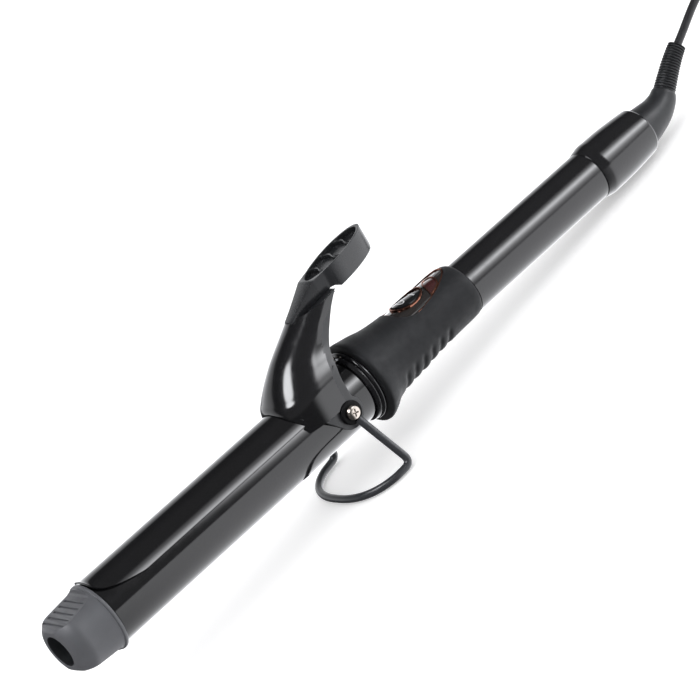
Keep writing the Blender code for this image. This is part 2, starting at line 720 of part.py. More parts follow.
def build_switch():
    trim = plate("trim", window_outline(GAP), 8.0, 20.0, "plan")
    cut(trim, plate("trim_hole", window_outline(GAP + TRIM_WALL), 7.0, 21.0, "plan"))
    common(trim, crown(14.3))
    cut(trim, rod("tube_room", (40, 0, 0), (100, 0, 0), TUBE_CORE_R + GAP, 48))
    keep(trim, "window_trim", "copper")

    panel = plate("panel", window_outline(2 * GAP + TRIM_WALL), 8.0, 20.0, "plan")
    common(panel, crown(13.9))
    cut(panel, rod("tube_room", (40, 0, 0), (100, 0, 0), TUBE_CORE_R + GAP, 48),
        plate("rocker_hole", oval(ROCKER_X, 9.0, 6.2, 28), 5.0, 20.0, "plan"),
        plate("led_hole", oval(LED_X, 3.6, 3.6, 16), 5.0, 20.0, "plan"))
    keep(panel, "switch_panel", "gloss_black")

    bezel = oval_ring("rocker_ring", ROCKER_X, (8.7, 5.9), 0.6, 11.0, 20.0, 28)
    common(bezel, crown(14.3))
    keep(bezel, "rocker_trim", "copper")
    frame = oval_ring("led_ring", LED_X, (3.3, 3.3), TRIM_WALL, 9.0, 20.0, 16)
    common(frame, crown(14.3))
    keep(frame, "led_frame", "copper")
    lens = plate("lens", oval(LED_X, 2.3, 2.3, 16), 12.2, 20.0, "plan")
    common(lens, crown(14.2))
    keep(lens, "led_lens", "led_red")

    rocker = plate("rocker", oval(0.0, 7.6, 4.9, 28), -1.4, 8.0, "plan")
    axis = PANEL_LIFT - ROCKER_PIVOT_Z
    common(rocker, rod("rocker_crown", (-12, 0, axis), (12, 0, axis), 14.6, 64))
    rocker = tidy_mesh(rocker)
    rocker.rotation_euler = (0.0, ROCKER_REST_TILT, 0.0)
    rocker.location = Vector((ROCKER_X, 0.0, ROCKER_PIVOT_Z)) * MM
    keep(tidy_mesh(rocker), "power_rocker", "gloss_black", rocker_hinge)

    body = block("switch_body", (57.0, 73.0), (-5.0, 5.0), (-3.0, 8.6))
    keep(body, "switch_body", "matte_black")
    for name, x in (("switched_terminal", 60.0), ("live_terminal", 68.0)):
        keep(block(name, (x, x + 0.8), (-2.4, 2.4), (-8.0, -3.3)), name, "brass")
    keep(block("board", (74.0, 85.6), (-5.0, 5.0), (7.2, 8.4)), "led_board", "board")
    keep(rod("lamp", (LED_X, 0, 8.7), (LED_X, 0, 11.8), 1.5, 16), "led_lamp", "led_red")


def build_wires():
    runs = (
        ("neutral_wire", "wire_blue", [(187.5, 5.0, -2.0), (170, 6.5, -5), (130, 7, -6), (90, 7.0, -6.5),
                                       (50, 4.4, -5.4), (26, 3.6, -5.6), (8, 3.5, -9.0), (-6, 4.0, -9.0),
                                       (-10.8, 4.5, -8.4)]),
        ("live_wire", "wire_red", [(187.5, -5.0, -2.0), (150, -6, -4), (110, -6, -6), (84, -2.0, -8.5),
                                   (69.4, 0.0, -8.9)]),
        ("switched_live_wire", "wire_red", [(59.4, 0.0, -8.9), (48, -3.0, -6.6), (26, -3.6, -5.6),
                                            (8, -3.5, -9.0), (-3, -1.5, -8.6), (-9.4, 0.0, -8.0)]),
    )
    for name, look, knots in runs:
        keep(wire(name, smooth_curve(knots, 9.0), 0.9, 1), name, look)


# ---------------------------------------------------------------- rear cap and swivel

def build_rear_cap():
    cap = turned("cap", [(TUBE_END, 13.0), (TUBE_END + 3.2, 14.3), (204.0, 14.2),
                         (CAP_END - 0.8, CAP_REAR_R + 0.05), (CAP_END, CAP_REAR_R), (CAP_END, 11.0),
                         (212.0, 11.0), (212.0, 12.3), (TUBE_END, 12.3)])
    keep(cap, "rear_cap", "gloss_black")
    holder = turned("holder", [(188.0, 0.0), (188.0, 10.3), (194.4, 10.3), (194.4, 11.9), (197.0, 11.9),
                               (197.0, 0.0)], 32)
    keep(holder, "brush_holder", "matte_black")
    for name, z in (("inner_brush", 3.0), ("outer_brush", -7.0)):
        keep(rod(name, (197.3, 0.0, z), (201.6, 0.0, z), 1.2, 12), name, "brass")


def swivel_path():
    """The boot's centre line: straight out of the cap, then bending up towards the lever side."""
    knots = [(CAP_END, 0, 0), (231.0, 0, 0.3), (238.5, 0, 1.2), (244.5, 0, 3.4), (249.0, 0, 6.6)]
    return smooth_curve(knots, 3.0)


def relief_path():
    knots = [(249.2, 0, 6.8), (254.0, 0, 10.4), (259.2, 0, 14.2), (264.6, 0, 17.7), (268.6, 0, 19.9)]
    return smooth_curve(knots, 1.6)


def sweep(name, path, radii, segments=24):
    """Round sections of changing radius, square to a path in the XZ plane, closed at both ends."""
    bm = bmesh.new()
    rows = []
    for i, centre in enumerate(path):
        before, after = Vector(path[max(i - 1, 0)]), Vector(path[min(i + 1, len(path) - 1)])
        along = (after - before).normalized()
        up = Vector((-along.z, 0.0, along.x))
        row = []
        for k in range(segments):
            t = math.tau * k / segments
            spot = Vector(centre) + radii[i] * (up * math.cos(t) + Vector((0, 1, 0)) * math.sin(t))
            row.append(bm.verts.new(spot * MM))
        rows.append(row)
    for lower, upper in zip(rows, rows[1:]):
        for k in range(segments):
            j = (k + 1) % segments
            bm.faces.new((lower[k], lower[j], upper[j], upper[k]))
    bm.faces.new(rows[0])
    bm.faces.new(rows[-1])
    return tidy_mesh(from_bmesh(name, bm))


def build_swivel():
    path = swivel_path()
    count = len(path) - 1
    radii = [SWIVEL_R - (SWIVEL_R - 6.0) * (i / count) ** 1.15 for i in range(count + 1)]
    boot = sweep("boot", path, radii, 20)
    neck = turned("neck", [(206.0, 0.0), (206.0, 11.9), (211.4, 11.9), (211.4, SWIVEL_R), (225.0, SWIVEL_R),
                           (225.0, 0.0)], 40)
    join(neck, boot)
    keep(neck, "swivel_boot", "matte_black", swivel_hinge)
    disc = turned("disc", [(203.2, 0.0), (203.2, 9.4), (205.7, 9.4), (205.7, 0.0)], 32)
    keep(disc, "slip_ring_disc", "mica", swivel_hinge)
    for name, inner, outer in (("inner_slip_ring", 1.6, 4.4), ("outer_slip_ring", 5.8, 8.4)):
        keep(ring(name, 202.2, 202.9, inner, outer, 32), name, "copper", swivel_hinge)

    path = relief_path()
    count = len(path) - 1
    radii = []
    for i in range(count + 1):
        taper = 5.6 - 1.1 * i / count
        radii.append(taper if i % 2 == 0 else taper - 0.7)
    relief = sweep("relief", path, radii, 14)
    keep(relief, "strain_relief", "rubber", swivel_hinge)


# ---------------------------------------------------------------- cord, on the table

def to_table(x, z):
    """A point of the iron's mid-plane in the standing frame."""
    return (x * math.cos(TILT) + z * math.sin(TILT), PIVOT_HEIGHT - x * math.sin(TILT) + z * math.cos(TILT))


def cord_knots():
    """Out of the strain relief, over in an arch, down and along the table to the coil."""
    return [(294.0, 0.0, 37.2), (312.0, 0.0, 40.6), (329.0, -0.6, 38.0), (344.0, -1.6, 29.8),
            (356.0, -3.0, 19.0), (367.0, -5.0, 9.6), (379.0, -8.0, 4.4), (392.0, -12.6, 2.4),
            (403.6, -18.4, 2.3)]


def build_cord():
    leave_x, leave_z = to_table(268.9, 20.05)
    ahead_x, ahead_z = to_table(275.4, 23.3)
    knots = [(leave_x, 0.0, leave_z), (ahead_x, 0.0, ahead_z)] + cord_knots()
    keep(wire("cord", smooth_curve(knots, 6.0), CORD_R, 2), "cord_tube", "cord_pvc", table)

    low, high = COIL_Z
    ease = 2.4
    section = [(low, COIL_R_IN + ease), (low, COIL_R_OUT - ease), (low + ease, COIL_R_OUT),
               (high - ease, COIL_R_OUT), (high, COIL_R_OUT - ease), (high, COIL_R_IN + ease),
               (high - ease, COIL_R_IN), (low + ease, COIL_R_IN)]
    coil = turned("coil", section, 40)
    coil.rotation_euler = (0.0, -math.pi / 2, 0.0)
    coil.location = (COIL_X * MM, 0.0, 0.0)
    keep(tidy_mesh(coil), "cord_coil", "cord_pvc", table)

    near, far = COIL_X + COIL_R_IN, COIL_X + COIL_R_OUT
    tie = block("tie", (near - 1.8, far + 1.1), (-4.0, 4.0), (0.0, COIL_Z[1] + 1.1))
    cut(tie, block("tie_room", (near - 1.0, far + GAP), (-6.0, 6.0), (0.7, COIL_Z[1] + GAP)))
    keep(tie, "cord_tie", "rubber", table)

    tail = [(COIL_X + 2.0, PLUG_Y, 2.3), (COIL_X - 7.0, PLUG_Y, 2.6), (COIL_X - 16.0, PLUG_Y, 4.2),
            (COIL_X - 24.0, PLUG_Y, 6.2), (PLUG_X + GAP, PLUG_Y, PLUG_HALF[2])]
    keep(wire("tail", smooth_curve(tail, 5.0), CORD_R, 2), "cord_tail", "cord_pvc", table)


def build_plug():
    """A flat two-pin moulded plug, tapering to the cord."""
    half_x, half_y, half_z = PLUG_HALF
    face = PLUG_X - 2 * half_x
    plan = [(face, PLUG_Y - half_y), (face, PLUG_Y + half_y), (face + 13.0, PLUG_Y + half_y),
            (face + 22.0, PLUG_Y + 8.6), (PLUG_X - 4.0, PLUG_Y + 4.0), (PLUG_X, PLUG_Y + 4.0),
            (PLUG_X, PLUG_Y - 4.0), (PLUG_X - 4.0, PLUG_Y - 4.0), (face + 22.0, PLUG_Y - 8.6),
            (face + 13.0, PLUG_Y - half_y)]
    body = plate("plug", plan, 0.0, 2 * half_z, "plan")
    side = [(face - 1, 0.0), (PLUG_X - 16.0, 0.0), (PLUG_X + 1, half_z - 4.0), (PLUG_X + 1, half_z + 4.0),
            (PLUG_X - 16.0, 2 * half_z), (face - 1, 2 * half_z)]
    common(body, plate("plug_side", side, PLUG_Y - 30, PLUG_Y + 30))
    edge = body.modifiers.new("edges", "BEVEL")
    edge.width = 1.0 * MM
    edge.segments = 2
    edge.limit_method = "ANGLE"
    edge.angle_limit = math.radians(60)
    keep(body, "plug_body", "cord_pvc", table)
    for name, y in (("plug_pin_near", PLUG_Y - 9.3), ("plug_pin_far", PLUG_Y + 9.3)):
        keep(rod(name, (face - 19.0, y, half_z), (face - GAP, y, half_z), 2.0, 16), name, "brass", table)


build_tip()
build_barrel()
build_clamp_plate()
build_lever()
build_thumb_pad()
build_pivot()
build_spring()
build_stand()
build_handle()
build_switch()
build_wires()
build_rear_cap()
build_swivel()
build_cord()
build_plug()
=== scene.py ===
import json
import math

import bmesh
import bpy
from mathutils import Matrix, Vector


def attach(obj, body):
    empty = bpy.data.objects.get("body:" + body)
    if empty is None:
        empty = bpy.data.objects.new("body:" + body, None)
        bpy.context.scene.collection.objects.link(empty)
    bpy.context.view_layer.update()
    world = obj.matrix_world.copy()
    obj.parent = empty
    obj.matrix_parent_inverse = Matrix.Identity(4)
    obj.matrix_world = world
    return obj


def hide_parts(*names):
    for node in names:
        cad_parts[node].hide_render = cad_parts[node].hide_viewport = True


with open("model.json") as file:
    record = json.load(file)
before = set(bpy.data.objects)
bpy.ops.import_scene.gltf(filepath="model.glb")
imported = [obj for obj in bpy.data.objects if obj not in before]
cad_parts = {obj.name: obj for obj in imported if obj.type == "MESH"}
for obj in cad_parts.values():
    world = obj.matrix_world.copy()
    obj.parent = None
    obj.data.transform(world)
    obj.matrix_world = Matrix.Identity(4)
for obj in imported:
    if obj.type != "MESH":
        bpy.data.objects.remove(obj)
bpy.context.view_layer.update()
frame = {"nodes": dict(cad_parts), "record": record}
nodes = frame["nodes"]

# The iron is drawn in its own frame, in mm: x along the barrel from the clamp's pivot
# towards the cord, y away from the camera, z on the thumb lever's side.
mm = 0.001
gap = 0.3
tipFace, tipFlange = -171.4, -148.4
capEnd, capRestR = 224.0, 12.6  # the rear cap's end, whose rim rests on the table
standCorner = (7.1, 31.0, -32.9)
wireR = 1.9
reach, drop = capEnd - standCorner[0], -standCorner[2] - capRestR
tilt = math.atan2(drop, reach) + math.asin(wireR / math.hypot(reach, drop))
pivotX = -49.51
pivotHeight = capEnd * math.sin(tilt) + capRestR * math.cos(tilt)
ironFrame = (Matrix.Translation((pivotX * mm, 0, pivotHeight * mm))
             @ Matrix.Rotation(tilt, 4, "Y") @ Matrix.Scale(mm, 4))
tableFrame = Matrix.Translation((pivotX * mm, 0, 0)) @ Matrix.Scale(mm, 4)
scene = bpy.context.scene


def say(stage):
    print("scene:", stage)


# An sRGB hex colour as the linear values shaders take.
def linear(colour):
    parts = [int(colour[i:i + 2], 16) / 255 for i in (1, 3, 5)]
    return [p / 12.92 if p <= 0.04045 else ((p + 0.055) / 1.055) ** 2.4 for p in parts] + [1.0]


cameraSettings = {
    # place and axes in the iron's own frame, lens in mm
    "place": (-632.49, -1252.57, 518.83),
    "right": (0.67040, -0.55211, -0.49572),
    "up": (0.59842, 0.00730, 0.80115),
    "back": (-0.43871, -0.83374, 0.33529),
    "lens": 168.9,
}


def makeCamera():
    data = bpy.data.cameras.new("camera")
    data.lens = cameraSettings["lens"]
    data.sensor_width = 36.0
    data.clip_start = 0.05
    data.dof.use_dof = False
    camera = bpy.data.objects.new("camera", data)
    scene.collection.objects.link(camera)
    turn = Matrix([cameraSettings[axis] for axis in ("right", "up", "back")]).transposed().to_4x4()
    place = ironFrame @ Vector(cameraSettings["place"])
    camera.matrix_world = Matrix.Translation(place) @ Matrix.Rotation(tilt, 4, "Y") @ turn
    scene.camera = camera


makeCamera()


# Sets a mesh drawn in mm into the world, smooth except at sharp edges, on its body.
def keepObject(name, mesh, place=ironFrame, body="iron", material=None, sharp=30.0):
    mesh.transform(place)
    obj = bpy.data.objects.new(name, mesh)
    scene.collection.objects.link(obj)
    mesh.shade_smooth()
    mesh.set_sharp_from_angle(angle=math.radians(sharp))
    if material is not None:
        mesh.materials.append(material)
    if body is not None:
        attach(obj, body)
    return obj


def meshOf(bm, name="shape"):
    mesh = bpy.data.meshes.new(name)
    bmesh.ops.recalc_face_normals(bm, faces=bm.faces)
    bm.to_mesh(mesh)
    bm.free()
    return mesh


# The mesh after modifiers, each given as (type, settings).
def evaluated(mesh, *modifiers):
    obj = bpy.data.objects.new("work", mesh)
    scene.collection.objects.link(obj)
    for kind, settings in modifiers:
        mod = obj.modifiers.new(kind.lower(), kind)
        for key, value in settings.items():
            setattr(mod, key, value)
    bpy.context.view_layer.update()
    result = bpy.data.meshes.new_from_object(obj.evaluated_get(bpy.context.evaluated_depsgraph_get()))
    bpy.data.objects.remove(obj)
    return result


# Boolean of a mesh with others, all in mm.
def combined(mesh, operation, *others):
    helpers = []
    steps = []
    for other in others:
        helper = bpy.data.objects.new("helper", other)
        scene.collection.objects.link(helper)
        helpers.append(helper)
        steps.append(("BOOLEAN", {"operation": operation, "solver": "EXACT", "object": helper}))
    result = evaluated(mesh, *steps)
    for helper in helpers:
        bpy.data.objects.remove(helper)
    return result


# Softens the sharp edges, as moulding and tumbling do.
def rounded(mesh, width, segments=3, angle=30.0):
    return evaluated(mesh, ("BEVEL", {"width": width, "segments": segments, "limit_method": "ANGLE",
                                      "angle_limit": math.radians(angle), "harden_normals": False}))


# Quads through rows of points; closed joins each row's ends.
def gridMesh(rows, closed=False, capEnds=False):
    bm = bmesh.new()
    made = [[bm.verts.new(p) for p in row] for row in rows]
    width = len(rows[0])
    for lower, upper in zip(made, made[1:]):
        for k in range(width if closed else width - 1):
            j = (k + 1) % width
            bm.faces.new((lower[k], lower[j], upper[j], upper[k]))
    if capEnds:
        bm.faces.new(made[0])
        bm.faces.new(made[-1])
    return bm


# Turns (station, radius) points round the x axis.
def lathe(profile, segments=144, closed=True):
    rows = []
    loop = list(profile) + ([profile[0]] if closed else [])
    for x, r in loop:
        rows.append([(x, r * math.sin(math.tau * k / segments), r * math.cos(math.tau * k / segments))
                     for k in range(segments)])
    bm = gridMesh(rows, closed=True)
    bmesh.ops.remove_doubles(bm, verts=bm.verts, dist=0.0001)
    return meshOf(bm)


# Rounds the corners of a closed (station, radius) profile: radii maps corner index to size.
def fillet(profile, radii, steps=5):
    points = []
    count = len(profile)
    for i, corner in enumerate(profile):
        if i not in radii:
            points.append(corner)
            continue
        q, p, n = Vector(corner), Vector(profile[i - 1]), Vector(profile[(i + 1) % count])
        a, b = q + (p - q).normalized() * radii[i], q + (n - q).normalized() * radii[i]
        for k in range(steps + 1):
            t = k / steps
            spot = (1 - t) ** 2 * a + 2 * t * (1 - t) * q + t * t * b
            points.append((spot.x, spot.y))
    return points


def rod(start, end, radius, segments=48):
    start, end = Vector(start), Vector(end)
    axis = end - start
    turn = axis.to_track_quat("Z", "Y").to_matrix().to_4x4()
    bm = bmesh.new()
    bmesh.ops.create_cone(bm, cap_ends=True, segments=segments, radius1=radius, radius2=radius,
                          depth=axis.length, matrix=Matrix.Translation((start + end) / 2) @ turn)
    return meshOf(bm)


def block(x, y, z, turn=None):
    bm = bmesh.new()
    size = Matrix.Diagonal((x[1] - x[0], y[1] - y[0], z[1] - z[0], 1.0))
    place = Matrix.Translation(((x[0] + x[1]) / 2, (y[0] + y[1]) / 2, (z[0] + z[1]) / 2))
    bmesh.ops.create_cube(bm, size=1.0, matrix=place @ (turn or Matrix.Identity(4)) @ size)
    return meshOf(bm)


# Extrudes a closed outline: plan (x, y) along z, side (x, z) along y, end (y, z) along x.
def prism(outline, low, high, plane="plan"):
    order = {"plan": lambda a, b, c: (a, b, c), "side": lambda a, b, c: (a, c, b),
             "end": lambda a, b, c: (c, a, b)}
    bm = bmesh.new()
    ends = [[bm.verts.new(order[plane](a, b, level)) for a, b in outline] for level in (low, high)]
    for k in range(len(outline)):
        j = (k + 1) % len(outline)
        bm.faces.new((ends[0][k], ends[0][j], ends[1][j], ends[1][k]))
    bm.faces.new(ends[0])
    bm.faces.new(ends[1])
    return meshOf(bm)


def oval(cx, halfX, halfY, steps=72, power=2.0):
    points = []
    for i in range(steps):
        c, s = math.cos(math.tau * i / steps), math.sin(math.tau * i / steps)
        points.append((cx + halfX * math.copysign(abs(c) ** (2 / power), c),
                       halfY * math.copysign(abs(s) ** (2 / power), s)))
    return points


def arc(cx, cy, radius, start, end, steps):
    turns = [math.radians(start + (end - start) * i / steps) for i in range(steps + 1)]
    return [(cx + radius * math.cos(t), cy + radius * math.sin(t)) for t in turns]


# Catmull-Rom through tuples of any length, read at count + 1 even steps of the index.
def spline(knots, count):
    ends = [[2 * a - b for a, b in zip(knots[0], knots[1])]] + [list(k) for k in knots]
    ends.append([2 * a - b for a, b in zip(knots[-1], knots[-2])])
    result = []
    for i in range(count + 1):
        u = i * (len(knots) - 1) / count
        k = min(int(u), len(knots) - 2)
        t = u - k
        a, b, c, d = ends[k:k + 4]
        result.append(tuple(0.5 * (2 * q + (r - p) * t + (2 * p - 5 * q + 4 * r - s) * t * t
                                   + (3 * q - p - 3 * r + s) * t ** 3) for p, q, r, s in zip(a, b, c, d)))
    return result


# The same line with points an even distance apart.
def evenly(points, spacing):
    points = [Vector(p) for p in points]
    lengths = [0.0]
    for a, b in zip(points, points[1:]):
        lengths.append(lengths[-1] + (b - a).length)
    count = max(2, round(lengths[-1] / spacing))
    result, k = [], 0
    for i in range(count + 1):
        want = lengths[-1] * i / count
        while k < len(lengths) - 2 and lengths[k + 1] < want:
            k += 1
        share = (want - lengths[k]) / max(lengths[k + 1] - lengths[k], 1e-9)
        result.append(points[k].lerp(points[k + 1], min(max(share, 0.0), 1.0)))
    return result


# Round sections of changing radius, square to a path.
def sweep(path, radii, segments=48, capEnds=True):
    rows = []
    side = Vector((0, 1, 0))
    for i, centre in enumerate(path):
        along = (Vector(path[min(i + 1, len(path) - 1)]) - Vector(path[max(i - 1, 0)])).normalized()
        side = (side - along * side.dot(along)).normalized()
        up = along.cross(side)
        rows.append([Vector(centre) + radii[i] * (up * math.cos(math.tau * k / segments)
                                                  + side * math.sin(math.tau * k / segments))
                     for k in range(segments)])
    return meshOf(gridMesh(rows, closed=True, capEnds=capEnds))


# Adds a shader node, sets its sockets and properties, and links its inputs.
def addNode(tree, kind, settings=None, links=None):
    node = tree.nodes.new(kind)
    for key, value in (settings or {}).items():
        if isinstance(key, int) or key in node.inputs.keys():
            node.inputs[key].default_value = value
        else:
            setattr(node, key, value)
    for key, source in (links or {}).items():
        tree.links.new(source, node.inputs[key])
    return node


# A surface whose colour and sheen drift, with two scales of relief. Sizes in mm:
# shade, other   the two colours, in patches of the size drift
# rough          least and most roughness, in 4 mm smears
# wave, grain    (size, height) of the broad and the fine relief
# brush          how many times longer than wide the marks are, along x
def makeMaterial(name, settings):
    material = bpy.data.materials.new(name)
    material.use_nodes = True
    tree = material.node_tree
    shader = tree.nodes["Principled BSDF"]
    coords = addNode(tree, "ShaderNodeTexCoord").outputs["Object"]
    if "brush" in settings:
        stretch = (1.0 / settings["brush"], 1.0, 1.0)
        coords = addNode(tree, "ShaderNodeMapping", {"Scale": stretch}, {"Vector": coords}).outputs[0]
    size = settings.get("drift", 9.0) * mm
    drift = addNode(tree, "ShaderNodeTexNoise", {"Scale": 1.0 / size, "Detail": 4.0, "Roughness": 0.55},
                    {"Vector": coords})
    shades = {"data_type": "RGBA", 6: linear(settings["shade"]), 7: linear(settings["other"])}
    mixer = addNode(tree, "ShaderNodeMix", shades, {"Factor": drift.outputs["Fac"]})
    tree.links.new(mixer.outputs[2], shader.inputs["Base Color"])
    smear = addNode(tree, "ShaderNodeTexNoise", {"Scale": 1.0 / (4.0 * mm), "Detail": 5.0, "Roughness": 0.65},
                    {"Vector": coords})
    least, most = settings["rough"]
    sheen = addNode(tree, "ShaderNodeMapRange", {"From Min": 0.3, "From Max": 0.7, "To Min": least,
                                                 "To Max": most}, {"Value": smear.outputs["Fac"]})
    tree.links.new(sheen.outputs["Result"], shader.inputs["Roughness"])
    under = {}
    for key in ("wave", "grain"):
        if key in settings:
            size, height = settings[key]
            grit = {"Scale": 1.0 / (size * mm), "Detail": 2.0, "Roughness": 0.55}
            relief = addNode(tree, "ShaderNodeTexNoise", grit, {"Vector": coords})
            bump = addNode(tree, "ShaderNodeBump", {"Strength": 1.0, "Distance": height * mm},
                           {"Height": relief.outputs["Fac"], **under})
            under = {"Normal": bump.outputs["Normal"]}
    if under:
        tree.links.new(under["Normal"], shader.inputs["Normal"])
    for key, value in settings.get("shader", {}).items():
        shader.inputs[key].default_value = value
    return material


materialSettings = {
    # baked gloss enamel on aluminium: deep black, mirror-like, with a faint orange peel
    "enamelBlack": {"shade": "#0b0b0c", "other": "#111113", "rough": (0.07, 0.13), "wave": (6.0, 0.004),
                    "grain": (0.5, 0.0006), "shader": {"IOR": 1.50}},
    # polished black ABS: the same depth, a little softer and wavier
    "glossPlastic": {"shade": "#0d0d0f", "other": "#141416", "rough": (0.10, 0.18), "wave": (9.0, 0.008),
                     "grain": (0.4, 0.001), "shader": {"IOR": 1.54}},
    # soft-touch rubber: near black, velvety, powder-fine grain
    "softRubber": {"shade": "#141517", "other": "#1b1c1f", "rough": (0.52, 0.68), "wave": (3.0, 0.01),
                   "grain": (0.18, 0.012), "shader": {"Specular IOR Level": 0.22, "Sheen Weight": 0.04}},
    # spark-eroded black plastic: dull grey sheen with a tight grain
    "mattePlastic": {"shade": "#1a1b1d", "other": "#222326", "rough": (0.38, 0.52), "wave": (4.0, 0.01),
                     "grain": (0.22, 0.012), "shader": {"Specular IOR Level": 0.35}},
    # moulded nylon at the pivot, duller than the polished shell it meets; its paler shade is painted sheen:
    # on the ears it partly stands for the floor's reflection, on the lever's rear strip for the light its
    # edges catch
    "paleNylonPaintedSheen": {"shade": "#27282a", "other": "#2f3032", "rough": (0.36, 0.48), "wave": (3.0, 0.015),
                 "grain": (0.2, 0.014), "shader": {"IOR": 1.50}},
    # semi-gloss black plastic of the thumb pad: a soft clear highlight along every edge
    "satinPlastic": {"shade": "#1b1c1e", "other": "#242528", "rough": (0.2, 0.3), "wave": (5.0, 0.012),
                     "grain": (0.22, 0.006), "shader": {"IOR": 1.52}},
    # glass-filled heat-proof nylon: mid grey, satin
    "heatNylon": {"shade": "#48494d", "other": "#535458", "rough": (0.42, 0.55), "wave": (5.0, 0.012),
                  "grain": (0.25, 0.012), "shader": {"IOR": 1.53}},
    # dip-coated spring wire: dark grey skin, softly lit
    "coatedWire": {"shade": "#28292c", "other": "#323438", "rough": (0.30, 0.42), "wave": (2.0, 0.012),
                   "grain": (0.3, 0.004), "shader": {"IOR": 1.50}},
    # the wire's flattened ends: painted shade, near black for the shadow under the screw head
    "eyeletPaintedShade": {"shade": "#060607", "other": "#0a0a0b", "rough": (0.55, 0.7), "grain": (0.2, 0.008),
                   "shader": {"Specular IOR Level": 0.15}},
    # flexible PVC: dark, slightly waxy
    "vinylCord": {"shade": "#1a1a1c", "other": "#232326", "rough": (0.30, 0.42), "wave": (3.0, 0.02),
                  "grain": (0.3, 0.006), "shader": {"Specular IOR Level": 0.35}},
    # nickel-chromium plate on a pressed screw head
    "chrome": {"shade": "#a8a098", "other": "#bab3ab", "rough": (0.12, 0.24), "wave": (1.2, 0.006),
               "grain": (0.15, 0.0008), "shader": {"Metallic": 1.0}},
    # rose-copper plated trim
    "copperTrim": {"shade": "#7d5443", "other": "#96695a", "rough": (0.12, 0.22), "wave": (1.5, 0.004),
                   "grain": (0.15, 0.0008), "shader": {"Metallic": 1.0}},
    # bare rolled steel, spring or bracket
    "rolledSteel": {"shade": "#8f9194", "other": "#a7a9ac", "rough": (0.22, 0.38), "brush": 12.0,
                    "grain": (0.15, 0.002), "shader": {"Metallic": 1.0}},
    # rolled and left as it comes: pale, soft streaks along its length
    "millAluminium": {"shade": "#b9bbbe", "other": "#cfd1d3", "rough": (0.28, 0.42), "brush": 10.0,
                      "grain": (0.2, 0.003), "shader": {"Metallic": 1.0}},
    # stamped contact brass: warm yellow with faint drawing marks
    "brass": {"shade": "#b9924c", "other": "#cfae68", "rough": (0.16, 0.30), "brush": 6.0,
              "grain": (0.2, 0.002), "shader": {"Metallic": 1.0}},
    # unglazed titanate ceramic, powdery
    "ceramic": {"shade": "#cfc8b6", "other": "#ddd7c8", "rough": (0.6, 0.8), "grain": (0.15, 0.02)},
    # pressed flakes of mica, pearly brown
    "mica": {"shade": "#8a7350", "other": "#b49a70", "rough": (0.25, 0.5), "drift": 1.5,
             "grain": (0.6, 0.01)},
    # clear red lens over a dark lamp
    "redLens": {"shade": "#2c0504", "other": "#420806", "rough": (0.06, 0.12), "drift": 2.0,
                "grain": (0.8, 0.004), "shader": {"IOR": 1.59, "Coat Weight": 1.0}},
    # glass-epoxy board under green resist
    "boardGreen": {"shade": "#1f5a30", "other": "#2b6b3c", "rough": (0.3, 0.45), "drift": 1.0,
                   "grain": (0.3, 0.004)},
    # rubbery heat-proof sleeving, in two even colours with a soft sheen
    "redSilicone": {"shade": "#9a2018", "other": "#ab2b20", "rough": (0.4, 0.55), "grain": (0.2, 0.006)},
    "blueSilicone": {"shade": "#1f4a94", "other": "#2957a6", "rough": (0.4, 0.55), "grain": (0.2, 0.006)},
    # smoked clear window over copper-toned backing: warm, dark and glassy
    "smokedPanel": {"shade": "#0d0b0a", "other": "#1d130d", "rough": (0.05, 0.10), "drift": 5.0,
                    "wave": (5.0, 0.004),
                    "shader": {"IOR": 1.58, "Coat Weight": 1.0, "Coat Roughness": 0.03}},
    # pad-printed light grey ink
    "whiteInk": {"shade": "#b9babc", "other": "#c9cacc", "rough": (0.4, 0.55), "grain": (0.1, 0.004)},
}
looks = {name: makeMaterial(name, settings) for name, settings in materialSettings.items()}

slotLooks = {
    "gloss_black": "glossPlastic", "matte_black": "mattePlastic", "rubber": "softRubber",
    "grey_nylon": "heatNylon", "steel": "rolledSteel", "aluminium": "millAluminium", "brass": "brass",
    "copper": "copperTrim", "ceramic": "ceramic", "mica": "mica", "led_red": "redLens",
    "board": "boardGreen", "wire_red": "redSilicone", "wire_blue": "blueSilicone", "cord_pvc": "vinylCord",
}


# Gives every carried-over CAD node the material of its slot, and smooth shading.
def dressNodes():
    for part in frame["record"]["subparts"]:
        obj = nodes[part["node"]]
        look = looks[slotLooks[part["material_slot"]]]
        obj.data.materials.clear()
        obj.data.materials.append(look)
        obj.data.shade_smooth()
        obj.data.set_sharp_from_angle(angle=math.radians(32.0))


dressNodes()
say("camera and materials")


cordSettings = {
    "radius": 2.1,
    "length": 1.80,
    "relief": ((268.9, 0, 20.05), (275.4, 0, 23.3)),  # out of the strain relief, on the iron
    # over a low arch and down to the table, on the table
    "lead": ((294.0, 0.0, 37.2), (312.0, 0.0, 40.6), (329.0, -0.6, 38.0), (344.0, -1.6, 29.8),
             (356.0, -3.0, 19.0), (367.0, -5.0, 9.6), (379.0, -8.0, 4.4), (392.0, -12.6, 2.5),
             (403.6, -18.8, 2.3), (412.5, -23.3, 2.7)),
    "coilX": 432.0,
    "coilBegin": 246.0, "coilTurns": 10, "coilEnd": 60.0, "coilStep": 9.0,  # degrees
    "shiftFrom": 0.66,  # share of a turn after which it moves over to the next
    "turnRadii": (28.4, 24.2, 20.0, 20.0, 24.2, 28.4, 28.4, 24.2, 20.0, 24.2, 28.4),
    "turnHeights": (3.3, 3.3, 3.3, 7.4, 7.4, 7.4, 11.5, 11.5, 11.5, 15.3, 15.3),
    "leaveSteps": 7, "leaveTurn": 30.0, "leaveOut": 4.7, "leaveDown": 1.2,
    # (x from the coil's middle, z) up to the plug
    "tail": ((-5.0, 12.2), (-12.0, 9.6), (-20.0, 7.6), (-27.0, 6.9), (-32.0 + gap, 6.85)), "tailY": 33.1,
}


def ease(t):
    t = min(max(t, 0.0), 1.0)
    return t * t * (3 - 2 * t)


